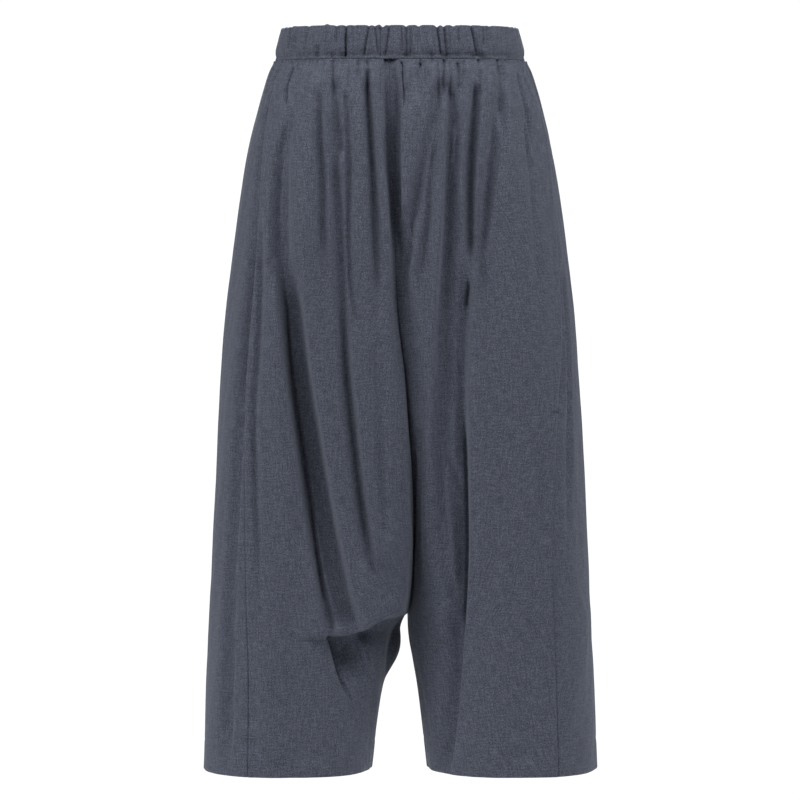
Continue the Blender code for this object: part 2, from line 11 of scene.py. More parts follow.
# %% Load the frame
import math
import bpy
import numpy as np
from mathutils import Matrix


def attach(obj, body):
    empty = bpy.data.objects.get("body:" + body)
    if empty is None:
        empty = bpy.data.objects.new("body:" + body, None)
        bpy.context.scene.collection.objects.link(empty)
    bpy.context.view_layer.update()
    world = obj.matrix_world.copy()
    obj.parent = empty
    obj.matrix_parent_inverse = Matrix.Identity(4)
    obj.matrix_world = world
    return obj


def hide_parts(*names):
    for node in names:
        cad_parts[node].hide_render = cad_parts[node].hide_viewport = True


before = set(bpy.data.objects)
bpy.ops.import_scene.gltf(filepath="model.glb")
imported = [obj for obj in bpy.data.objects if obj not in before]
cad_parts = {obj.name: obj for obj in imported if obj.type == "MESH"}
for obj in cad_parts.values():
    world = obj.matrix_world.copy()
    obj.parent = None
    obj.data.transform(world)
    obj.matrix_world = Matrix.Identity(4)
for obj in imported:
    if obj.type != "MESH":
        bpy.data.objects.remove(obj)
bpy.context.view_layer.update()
MM = 0.001


def add_object(name, data):
    """A new object with this data, linked into the scene."""
    thing = bpy.data.objects.new(name, data)
    bpy.context.scene.collection.objects.link(thing)
    return thing


# %% [markdown]
# ## The camera
#
# The trousers are seen straight from the front, from about half their height.  A long lens three
# metres away keeps the outline almost free of perspective, as in a shop's studio.  The view is
# 880 mm wide where the trousers hang, so that the waist and the hems both lie just inside it.

# %% Camera
CAMERA_DISTANCE = 3.0
CAMERA_HEIGHT = -0.390
VIEW_WIDTH = 0.880
SENSOR_WIDTH = 36.0   # millimetres, as the lens

camera_data = bpy.data.cameras.new("Camera")
camera_data.sensor_width = SENSOR_WIDTH
camera_data.lens = SENSOR_WIDTH * CAMERA_DISTANCE / VIEW_WIDTH
camera = add_object("Camera", camera_data)
camera.location = (0, -CAMERA_DISTANCE, CAMERA_HEIGHT)
camera.rotation_euler = (math.radians(90), 0, 0)
bpy.context.scene.camera = camera
print("lens:", round(camera_data.lens, 1), "mm")

# %% [markdown]
# ## Nodes and colours
#
# Small helpers serve every material.  A colour is written as the hex value that a paint
# program shows, and turned to the linear values that the renderer works in.  A node is added
# with its settings and its links in one call, so that a material reads as a short list; a socket
# is given by its name, or by its number after "at" where several have the same name.

# %% Helpers for materials


def linear(hex_colour):
    """sRGB hex to linear red, green, blue and alpha, by the standard transfer curve."""
    shares = [int(hex_colour[i:i + 2], 16) / 255 for i in (1, 3, 5)]
    return [s / 12.92 if s <= 0.04045 else ((s + 0.055) / 1.055) ** 2.4 for s in shares] + [1.0]


def add_node(tree, kind, settings=None, **inputs):
    """Add a node.  settings are its properties; inputs are values or sockets, by socket name."""
    node = tree.nodes.new(kind)
    for name, value in (settings or {}).items():
        setattr(node, name, value)
    for name, value in inputs.items():
        numbered = name[:2] == "at" and name[2:].isdigit()
        socket = node.inputs[int(name[2:]) if numbered else name.replace("_", " ")]
        if isinstance(value, bpy.types.NodeSocket):
            tree.links.new(value, socket)
        else:
            socket.default_value = value
    return node


def new_material(name):
    """A material with nodes, and its Principled shader."""
    material = bpy.data.materials.new(name)
    material.use_nodes = True
    return material, material.node_tree.nodes["Principled BSDF"]


# %% [markdown]
# ## Studio
#
# The floor is a plain pale sheet, as far below the waistband as a wearer's waist is high.  Cloth
# shows best between two soft lamps on each side with nothing straight ahead, so that ridges are
# lit and deep folds go dark.  One more lamp lights the back.  The surround looks white to the
# camera but hardly lights the cloth.

# %% Floor, surround and lamps
FLOOR_LEVEL = -1.04
FLOOR_SIZE = 2.6
SURROUND_LIGHT = 0.02
SURROUND_WHITE = 1.05
LAMP_SIZE = 1.0
LAMP_DISTANCE = 2.6
AIM_LEVEL = -0.4

scene = bpy.context.scene
scene.view_settings.view_transform = "Standard"

bpy.ops.mesh.primitive_plane_add(size=FLOOR_SIZE, location=(0, 0, FLOOR_LEVEL))
floor = bpy.context.object
floor.name = "floor"
paper, shader = new_material("White paper floor")
shader.inputs["Base Color"].default_value = linear("#f4f4f4")
shader.inputs["Roughness"].default_value = 0.9
shader.inputs["Emission Color"].default_value = linear("#ffffff")
shader.inputs["Emission Strength"].default_value = 0.03
floor.data.materials.append(paper)

world = bpy.data.worlds.new("Surround")
scene.world = world
world.use_nodes = True
tree = world.node_tree
tree.nodes.clear()
path = add_node(tree, "ShaderNodeLightPath")
soft = add_node(tree, "ShaderNodeBackground", Color=linear("#ffffff"), Strength=SURROUND_LIGHT)
white = add_node(tree, "ShaderNodeBackground", Color=linear("#ffffff"), Strength=SURROUND_WHITE)
both = add_node(tree, "ShaderNodeMixShader", at0=path.outputs["Is Camera Ray"],
                at1=soft.outputs[0], at2=white.outputs[0])
add_node(tree, "ShaderNodeOutputWorld", Surface=both.outputs[0])


def add_lamp(name, turned, raised, power):
    """A square lamp that faces the trousers, turned from the front and raised, in degrees."""
    data = bpy.data.lights.new(name, "AREA")
    data.shape = "SQUARE"
    data.size = LAMP_SIZE
    data.energy = power
    lamp = add_object(name, data)
    side = math.radians(turned)
    up = math.radians(raised)
    reach = LAMP_DISTANCE * math.cos(up)
    lamp.location = (reach * math.sin(side), -reach * math.cos(side),
                     AIM_LEVEL + LAMP_DISTANCE * math.sin(up))
    lamp.rotation_euler = (math.radians(90) - up, 0, side)


add_lamp("Front right lamp", 40, 45, 22.0)
add_lamp("Side right lamp", 70, 45, 22.0)
add_lamp("Front left lamp", -40, 45, 22.0)
add_lamp("Side left lamp", -70, 20, 22.0)
add_lamp("Back lamp", 180, 45, 60.0)
print(len(bpy.data.lights), "lamps")

# %% [markdown]
# ## Curves through short tables
#
# A pattern cutter gives a garment as a few measures at named levels: waist, hip, thigh, hem.  The
# tables below do the same.  Between two levels a smooth curve has to rise or fall steadily, with
# no overshoot, so each slope is the harmonic mean of its two neighbours' slopes.  That is one
# formula on whole arrays, so a table can be read at hundreds of levels at once.

# %% Smooth curves


def smooth_curve(levels, values, level):
    """Cubic Hermite curve through values at falling levels; a slope is the harmonic mean of the
    chords on its two sides, or 0 where they differ in sign."""
    along = -levels
    step = np.diff(along)
    chord = np.diff(values) / step
    slope = np.zeros(len(values))
    rising = chord[:-1] * chord[1:] > 0
    mean = 2 * chord[:-1] * chord[1:] / np.where(rising, chord[:-1] + chord[1:], 1)
    slope[1:-1] = np.where(rising, mean, 0)
    slope[0] = chord[0]
    slope[-1] = chord[-1]
    reach = np.clip(-np.asarray(level, dtype=float), along[0], along[-1])
    span = np.clip(np.searchsorted(along, reach, side="right") - 1, 0, len(step) - 1)
    t = (reach - along[span]) / step[span]
    ends = values[span] * (1 + 2 * t) * (1 - t) ** 2 + values[span + 1] * t * t * (3 - 2 * t)
    bend = step[span] * t * (1 - t) * (slope[span] * (1 - t) - slope[span + 1] * t)
    return ends + bend


def ramp(value, low, high):
    """Soft step 3t^2 - 2t^3, 0 below low and 1 above high."""
    t = np.clip((value - low) / (high - low), 0, 1)
    return t * t * (3 - 2 * t)


def bell(distance, before, after):
    """Bell curve exp(-(d/w)^2), with one width before the middle and another after it."""
    return np.exp(-(distance / np.where(distance < 0, before, after)) ** 2)


class Sizes:
    """A table with named columns, whose first column is the level."""

    def __init__(self, columns, rows):
        self.columns = dict(zip(columns.split(), np.array(rows, dtype=float).T))

    def at(self, name, level):
        """The named column's smooth curve, read at level."""
        return smooth_curve(self.columns["level"], self.columns[name], level)


# %% [markdown]
# ## The body of the trousers
#
# Seen from above, the trousers are a rounded ring at the waist, which becomes two rounded tubes
# below the crotch.  A superellipse, |x|^p + |y|^p = 1, fits both: with p a little over 2 it is a
# full oval with slightly square corners, as cloth takes over hips.  The rows give the ring's half
# width, its depth in front and behind, and how far out the middle of each leg lies.

# %% Sizes of the rings and the seams
WAIST_SEAM = -18.0
PLUMB = -20.0
CROTCH = -624.0
HEM = -790.0
WAIST_TILT = 0.09
TILT_ENDS = -230.0
SEAM_GAP = 0.1

RINGS = Sizes("level half_width front back leg_centre roundness", (
    (-18, 137.0, 96, 98, 42, 2.1),
    (-30, 143.0, 102, 103, 48, 2.1),
    (-45, 148.0, 109, 110, 55, 2.15),
    (-75, 156.5, 117, 117, 66, 2.2),
    (-110, 165.0, 122, 123, 76, 2.25),
    (-160, 173.5, 126, 129, 88, 2.3),
    (-225, 182.0, 128, 134, 100, 2.35),
    (-300, 190.5, 128, 136, 109, 2.4),
    (-390, 197.0, 126, 133, 115, 2.45),
    (-480, 202.0, 122, 128, 118, 2.5),
    (-580, 207.0, 117, 121, 120, 2.5),
    (-680, 211.5, 111, 113, 122, 2.5),
    (-790, 215.5, 105, 106, 123, 2.5),
))

# Where each side seam crosses the front, and how round each leg turns in to the centre
SIDES = Sizes("level seam_right seam_left turn_right turn_left turn_back", (
    (-18, -126, 130, 3.5, 3.2, 3.0),
    (-45, -136, 142, 4.5, 3.4, 3.2),
    (-75, -141, 152, 5.5, 3.6, 3.4),
    (-110, -145, 159, 6.0, 3.8, 3.6),
    (-180, -148.5, 164, 6.5, 4.0, 3.6),
    (-240, -152, 168, 6.5, 3.8, 3.4),
    (-315, -158, 171.6, 6.0, 3.2, 3.0),
    (-390, -163, 167, 5.5, 2.6, 2.7),
    (-480, -163.5, 163, 5.0, 2.3, 2.5),
    (-560, -163, 160, 5.0, 2.2, 2.4),
    (-633, -161.5, 162, 5.0, 2.2, 2.3),
    (-645, -161, 163, 1.8, 2.2, 2.3),
    (-690, -160, 165, 2.1, 2.3, 2.3),
    (-790, -161, 168, 2.6, 2.4, 2.4),
))

# The centre seams down to the crotch, and the seams inside the legs below it
CENTRE_FRONT = Sizes("level x y", (
    (-20, -12, -92), (-60, -11, -101), (-110, -10.5, -106), (-180, -7, -111),
    (-240, -5, -111), (-300, -2.5, -103), (-360, 4, -92), (-420, 8.5, -80),
    (-480, 12.5, -65), (-540, 14, -46), (-590, 12, -24), (-624, 8, 0),
))
CENTRE_BACK = Sizes("level x y", (
    (-10, 0, 96), (-60, 0, 110), (-110, 0, 119), (-180, 0, 126), (-260, 0, 127),
    (-340, 2, 121), (-420, 4, 108), (-480, 5, 92), (-540, 6, 68), (-590, 7, 37), (-624, 8, 0),
))
INSEAM_RIGHT = Sizes("level x y", (
    (-624, 8, 0), (-632, -1, -8), (-642, -9, -14), (-660, -14, -19),
    (-690, -17, -15), (-715, -21, -6), (-750, -26, 0), (-790, -30.5, 0),
))
INSEAM_LEFT = Sizes("level x y", (
    (-624, 8, 0), (-640, 8.5, 0), (-654, 10, 0), (-670, 13, 0),
    (-703, 18.7, 0), (-753, 25, 0), (-790, 29.5, 0),
))

# The valley over the centre seams: its flanks, its flat floor up to the seam, and how open it is
VALLEYS = Sizes("level flank_right floor_right flank_left floor_left flank_back floor_back open", (
    (-18, 5, 3.5, 6, 6, 24, 2, 1.0),
    (-60, 5, 4, 6, 7, 26, 2, 1.0),
    (-180, 5, 3, 7, 6, 30, 2, 1.0),
    (-250, 7, 1, 19, 3, 34, 2, 0.95),
    (-330, 10, 0, 34, 0, 40, 1, 0.45),
    (-420, 16, 0, 40, 0, 40, 0, 0.0),
    (-790, 16, 0, 40, 0, 40, 0, 0.0),
))

# The front drape of the wearer's right leg ends in a ledge that climbs towards the crotch
LEDGE = -640.0
LEDGE_CLIMB = 18.0
LEDGE_REACH_UP = 150.0
LEDGE_REACH_DOWN = 75.0
CLIMB_FRONT = 46.0
CLIMB_BACK = 120.0
PATH_POINTS = 400
WIDEST_SEAM = 0.9995   # keeps a side seam just short of the ring's widest point

# %% [markdown]
# ## Rows round the body
#
# A panel is a stack of rows.  Each row starts at the side seam, follows its ring round the front
# or the back, and turns in to the centre seam or to the seam inside the leg.  The row is first
# drawn as a dense line, whose length is then measured, so that any point of the cloth is named by
# its level and by its distance from the seam, as on the flat pattern.

# %% Rows of a panel


def superellipse(turn, power):
    """Points where |x|^power + |y|^power = 1, in the directions turn."""
    across = np.cos(turn)
    along = np.sin(turn)
    radius = (np.abs(across) ** power + np.abs(along) ** power) ** (-1 / power)
    return radius * across, radius * along


def ledge_climb(level):
    """How far a row of the draped leg climbs at its inner end, 0 away from the ledge."""
    up = ramp(level, LEDGE + LEDGE_REACH_UP, LEDGE)
    down = ramp(level, LEDGE - LEDGE_REACH_DOWN, LEDGE)
    return LEDGE_CLIMB * np.where(level > LEDGE, up, down)


def row_lines(panel, levels):
    """Dense x and y of each row, from low x to high x or round the side: a superellipse from the
    side seam to the middle of the leg, then a quarter turn from there to the seam."""
    face, leg = panel.split("_")
    side = -1 if leg == "right" else 1
    front = face == "front"
    part = leg if front else "back"
    rows = np.minimum(levels, PLUMB)[:, None]
    half_width, centre, power, front_depth, back_depth = (
        RINGS.at(name, rows) for name in ("half_width", "leg_centre", "roundness", "front", "back"))
    seam = np.abs(SIDES.at("seam_" + leg, rows))
    turn = SIDES.at("turn_" + part, rows)

    reach = np.clip((seam - centre) / (half_width - centre), 0, WIDEST_SEAM)
    seam_turn = np.arctan2((1 - reach ** power) ** (1 / power), reach)
    steps = np.linspace(0, 1, PATH_POINTS)[None, :]
    last = math.pi / 2 if front else -math.pi / 2
    across, along = superellipse(seam_turn + (last - seam_turn) * steps, power)
    outer_x = side * (centre + (half_width - centre) * across)
    outer_y = np.where(along > 0, -front_depth * along, -back_depth * along)

    end_level = rows + (ledge_climb(rows) if side < 0 else 0)
    seam_line = CENTRE_FRONT if front else CENTRE_BACK
    inside = INSEAM_RIGHT if side < 0 else INSEAM_LEFT
    above = end_level >= CROTCH
    end_x, end_y = (np.where(above, seam_line.at(axis, end_level), inside.at(axis, end_level))
                    for axis in "xy")
    end_x = end_x + side * SEAM_GAP / 2
    opened = VALLEYS.at("open", rows)
    depth = -front_depth if front else back_depth
    inward, forward = superellipse(math.pi / 2 * (1 - steps), turn)
    span = np.abs(end_x - side * centre)
    floor_starts = 1 - VALLEYS.at("floor_" + part, rows) / span
    flank_starts = floor_starts - VALLEYS.at("flank_" + part, rows) / span
    valley = 1 - ramp(inward, flank_starts, floor_starts)
    forward = forward + opened * (valley - forward)
    inner_x = side * centre + (end_x - side * centre) * inward
    inner_y = end_y + (depth - end_y) * forward

    x = np.concatenate([outer_x, inner_x[:, 1:]], axis=1)
    y = np.concatenate([outer_y, inner_y[:, 1:]], axis=1)
    return (x[:, ::-1], y[:, ::-1]) if side > 0 else (x, y)


def arc_lengths(x, y):
    """Distance along each row from its first point."""
    steps = np.hypot(np.diff(x, axis=1), np.diff(y, axis=1))
    return np.concatenate([np.zeros((len(x), 1)), np.cumsum(steps, axis=1)], axis=1)


def unrolled(panel, x):
    """x made to rise all along a row: what wraps round the side is mirrored past the widest x.
    Returns that line and the widest x of each row."""
    right = panel.endswith("right")
    widest = x.min(axis=1, keepdims=True) if right else x.max(axis=1, keepdims=True)
    if panel.startswith("front"):
        return x, widest
    turning = (x.argmin(axis=1) if right else x.argmax(axis=1))[:, None]
    place = np.arange(x.shape[1])[None, :]
    wrapped = place < turning if right else place > turning
    return np.where(wrapped, 2 * widest - x, x), widest


def read_rows(along, values, at):
    """Read every row's curve at its own places: the rows are laid end to end on one line, so
    that one interpolation serves them all."""
    low = along[:, :1]
    span = along[:, -1:] - low
    start = 2.0 * np.arange(len(along))[:, None]
    line = (along - low) / span + start
    places = np.clip((at - low) / span, 0, 1) + start
    return np.interp(places.ravel(), line.ravel(), values.ravel()).reshape(at.shape)


trial = row_lines("front_left", np.array([WAIST_SEAM, -300.0, HEM]))
print("front panel, flat-lying width in mm:", np.round(arc_lengths(*trial)[:, -1]))

# %% [markdown]
# ## Folds
#
# The big folds are troughs pressed into the cloth along lines that run down the panel.  A trough
# has a flat floor and a soft slope on each side, and one slope is often much steeper than the
# other, because gravity pulls a fold over to one side.  Each row of the table is one fold: its
# line at five equal steps from top to bottom, the floor's width and its depth at three, and how
# it fades in and out.  Rows are grouped by their panel and by the side they are seen from, since
# each back panel reaches round to the front.  Cloth simulation could grow folds, but not these.

# %% Table of folds


def named_rows(columns, groups):
    """One dictionary of named numbers for each row, with the panel and the face of its group."""
    names = columns.split()
    return [dict(zip(names, row), panel=panel, face=face)
            for (panel, face), rows in groups.items() for row in rows]


FOLD_COLUMNS = ("top bottom x1 x2 x3 x4 x5 floor1 floor2 floor3 low high "
                "deep1 deep2 deep3 fade_in fade_out")
FOLD_ROWS = {
    ("front_right", "front"): (
        # its outer folds, the two edges of the drape and the folds that run down to it
        (-197, -647, -146, -149, -155, -151, -146, 0, 0, 0, 6, 9, 3, 4.5, 3.5, 60, 140),
        (-75, -284, -116, -129, -132, -131, -126, 1, 8, 10, 9, 13, 6, 11, 11, 25, 60),
        (-225, -646, -128.5, -120, -106, -91, -73, 14, 18, 28, 7, 9, 15, 24, 11, 70, 30),
        (-634, -714, -75, -71, -66, -60, -50, 5, 14, 4, 5, 24, 16, 18, 9, 12, 45),
        (-45, -280, -87, -84, -81, -81, -81, 0, 0, 0, 10, 8, 6, 7, 5, 18, 80),
        (-34, -595, -69, -66, -59, -46, -25, 0, 0, 0, 12, 9, 7, 8, 10, 18, 90),
        (-50, -337, -59, -54, -54, -52, -40, 0, 0, 0, 5, 8, 5, 5, 6, 15, 70),
        (-34, -327, -37, -31, -26, -25, -24, 0, 0, 0, 8, 8, 6, 6, 3, 16, 110),
    ),
    ("front_left", "front"): (
        # folds that cross to the centre, then those that hang straight
        (-34, -284, 46, 33, 20, 10, 3, 0, 0, 0, 10, 14, 7, 8, 3, 16, 60),
        (-98, -300, 42, 34, 30, 24, 19, 0, 0, 0, 6, 7, 4, 5, 4, 30, 90),
        (-40, -602, 52, 49, 41, 39, 49, 0, 3, 0, 6, 17, 8, 11, 7, 18, 130),
        (-40, -262, 84, 77, 75, 75, 74, 0, 0, 2, 9, 9, 9, 10, 10, 18, 40),
        (-235, -800, 75, 66, 67.5, 61, 49, 0, 0, 0, 32, 9, 10, 16, 11, 60, 40),
        (-55, -310, 106, 97, 91, 86, 84, 0, 0, 0, 8, 11, 7, 8, 5, 18, 90),
        (-30, -140, 127, 133, 139, 143, 147, 0, 0, 0, 6, 7, 6, 6, 4, 10, 50),
    ),
    ("back_right", "front"): (
        (-45, -790, -139, -155, -170, -181, -187, 0, 2, 4, 17, 5, 6, 8, 7, 22, 60),
    ),
    ("back_left", "front"): (
        (-230, -560, 173, 179, 180, 178, 176, 0, 0, 0, 5, 13, 6, 7, 4, 50, 120),
    ),
    ("back_right", "back"): (
        (-30, -250, -28, -32, -35, -37, -38, 0, 0, 0, 9, 8, 6, 6, 4, 15, 110),
        (-30, -380, -62, -68, -73, -77, -79, 0, 1, 0, 10, 11, 8, 9, 5, 15, 160),
        (-30, -220, -95, -103, -110, -114, -116, 0, 0, 0, 8, 9, 7, 7, 4, 15, 90),
        (-35, -560, -122, -138, -149, -156, -160, 0, 2, 0, 11, 15, 6, 10, 7, 25, 220),
        (-290, -775, -66, -76, -84, -90, -93, 4, 8, 6, 17, 19, 8, 14, 9, 130, 150),
        (-400, -640, -22, -30, -42, -56, -72, 0, 2, 0, 13, 17, 7, 11, 7, 70, 90),
    ),
    ("back_left", "back"): (
        (-30, -290, 24, 29, 35, 38, 40, 0, 0, 0, 8, 9, 6, 7, 4, 15, 140),
        (-30, -210, 58, 63, 66, 69, 70, 0, 0, 0, 9, 9, 7, 6, 4, 15, 90),
        (-30, -420, 89, 98, 106, 112, 115, 0, 1, 0, 11, 10, 7, 10, 6, 15, 190),
        (-35, -300, 124, 140, 151, 158, 162, 0, 0, 0, 9, 10, 6, 7, 4, 20, 130),
        (-330, -795, 74, 84, 88, 90, 88, 4, 9, 6, 19, 17, 8, 14, 10, 130, 120),
        (-430, -650, 26, 33, 46, 62, 80, 0, 2, 0, 15, 13, 7, 10, 7, 70, 90),
    ),
}
FOLDS = named_rows(FOLD_COLUMNS, FOLD_ROWS)
print(len(FOLDS), "folds")

# %% [markdown]
# ## Creases
#
# Between the folds the flannel has finer marks: slits where the gathers are pinched by the waist
# seam, and soft lines where a fold starts or dies out.  They are bells across and soft at both
# ends, so one table with a line, two widths and a depth holds them all.  A negative depth is a
# ridge.  The front's places come from looking closely at it.  The back gets a loop of its own
# with the same kind of slits, as uneven as the front's.

# %% Table of creases
CREASE_COLUMNS = "top bottom x1 x2 x3 low high deep fade_in fade_out"
CREASE_ROWS = {
    ("front_right", "front"): (
        # slits under the waist seam, then one soft line near the hem
        (-16, -36, -117, -118, -119, 1.8, 2.6, 2.6, 2, 14),
        (-16, -40, -111, -110.5, -110, 1.6, 2.4, 2.6, 2, 18),
        (-16, -46, -100, -101, -102, 2, 3, 1.6, 2, 24),
        (-16, -44, -89, -89, -89, 1.6, 2.2, 2.8, 2, 20),
        (-18, -82, -73, -71, -69, 1.8, 2.6, 3, 4, 40),
        (-26, -60, -55, -55, -55, 1.5, 2, 2.4, 8, 24),
        (-16, -50, -44.5, -44.5, -44, 1.5, 2.2, 2.8, 2, 26),
        (-18, -84, -36, -35, -34, 1.6, 2.4, 2.6, 6, 40),
        (-26, -84, -21, -20.5, -20, 1.5, 2.2, 2.2, 10, 34),
        (-640, -740, -118, -120, -121, 3, 9, 1.4, 40, 50),
    ),
    ("front_left", "front"): (
        # slits under the waist seam
        (-18, -52, 0, 2, 4.5, 2, 2.6, 2, 6, 26),
        (-16, -40, 22, 22, 22.5, 1.6, 2, 2.6, 2, 16),
        (-18, -62, 24.5, 27, 29, 1.5, 2, 2.4, 8, 30),
        (-16, -80, 39.5, 40, 40.5, 1.5, 2, 3, 2, 30),
        (-16, -80, 46.5, 46.5, 46.5, 1.5, 2.2, 3.6, 2, 30),
        (-18, -84, 52.5, 53, 53, 1.5, 2, 2.6, 6, 34),
        (-16, -48, 67.5, 68, 68, 1.5, 2.2, 3, 2, 22),
        (-16, -48, 84.5, 84.5, 84, 1.5, 2.2, 3.2, 2, 22),
        (-38, -84, 80, 79.5, 79, 1.8, 2.4, 2.4, 12, 28),
        (-16, -48, 105.5, 105.5, 105, 1.6, 2.2, 3, 2, 22),
        (-18, -48, 110, 110.5, 111, 1.4, 2, 2, 4, 22),
        (-44, -84, 105, 104.5, 104, 1.8, 2.4, 2, 12, 26),
        (-16, -60, 130, 135, 141, 1.6, 2.2, 3, 2, 26),
        # longer soft lines
        (-22, -110, 109, 109, 108.5, 3, 4, 2.2, 14, 50),
        (-92, -150, 62, 59, 55, 2.2, 3.4, 3.2, 20, 26),
        (-26, -88, 67, 65, 62, 2.6, 3.4, 2.6, 12, 34),
        (-76, -146, 134, 137, 140, 2.4, 3.6, 2.6, 22, 34),
        (-450, -486, 46, 54, 62, 3.5, 4.5, 4, 12, 14),
        (-470, -600, 27.5, 27, 29, 3.5, 5, -1.8, 40, 60),
        (-500, -700, 184, 185, 186, 5, 6, -1.4, 60, 80),
    ),
}
CREASES = named_rows(CREASE_COLUMNS, CREASE_ROWS)

BACK_SLITS = 21
SLIT_STEP = 6.1
SLIT_LEAST = (2.4, 24, 1.8)   # depth, reach and width
SLIT_MOST = (4.6, 90, 2.8)
slit_chance = np.random.default_rng(5)
for side, panel in ((-1, "back_right"), (1, "back_left")):
    for k in range(BACK_SLITS):
        x = side * (8 + SLIT_STEP * k + slit_chance.uniform(-1.8, 1.8))
        deep, reach, width = slit_chance.uniform(SLIT_LEAST, SLIT_MOST)
        spread = 1 + 0.0011 * reach
        CREASES.append(dict(panel=panel, face="back", top=-16, bottom=-24 - reach,
                            x1=x, x2=x * (1 + spread) / 2, x3=x * spread, low=width,
                            high=1.3 * width, deep=deep, fade_in=2, fade_out=0.7 * reach))
print(len(CREASES), "creases")

# %% [markdown]
# ## Ripples
#
# Between the big folds lie long ridges and shallow troughs, which is what makes gathered flannel
# look full.  Each is a bell across a curve through five places, which may widen on its way down,
# as a gather does when it opens out.  One with a depth below 0 stands up as a ridge.  One scale
# for all of them sets how strongly the cloth is gathered.

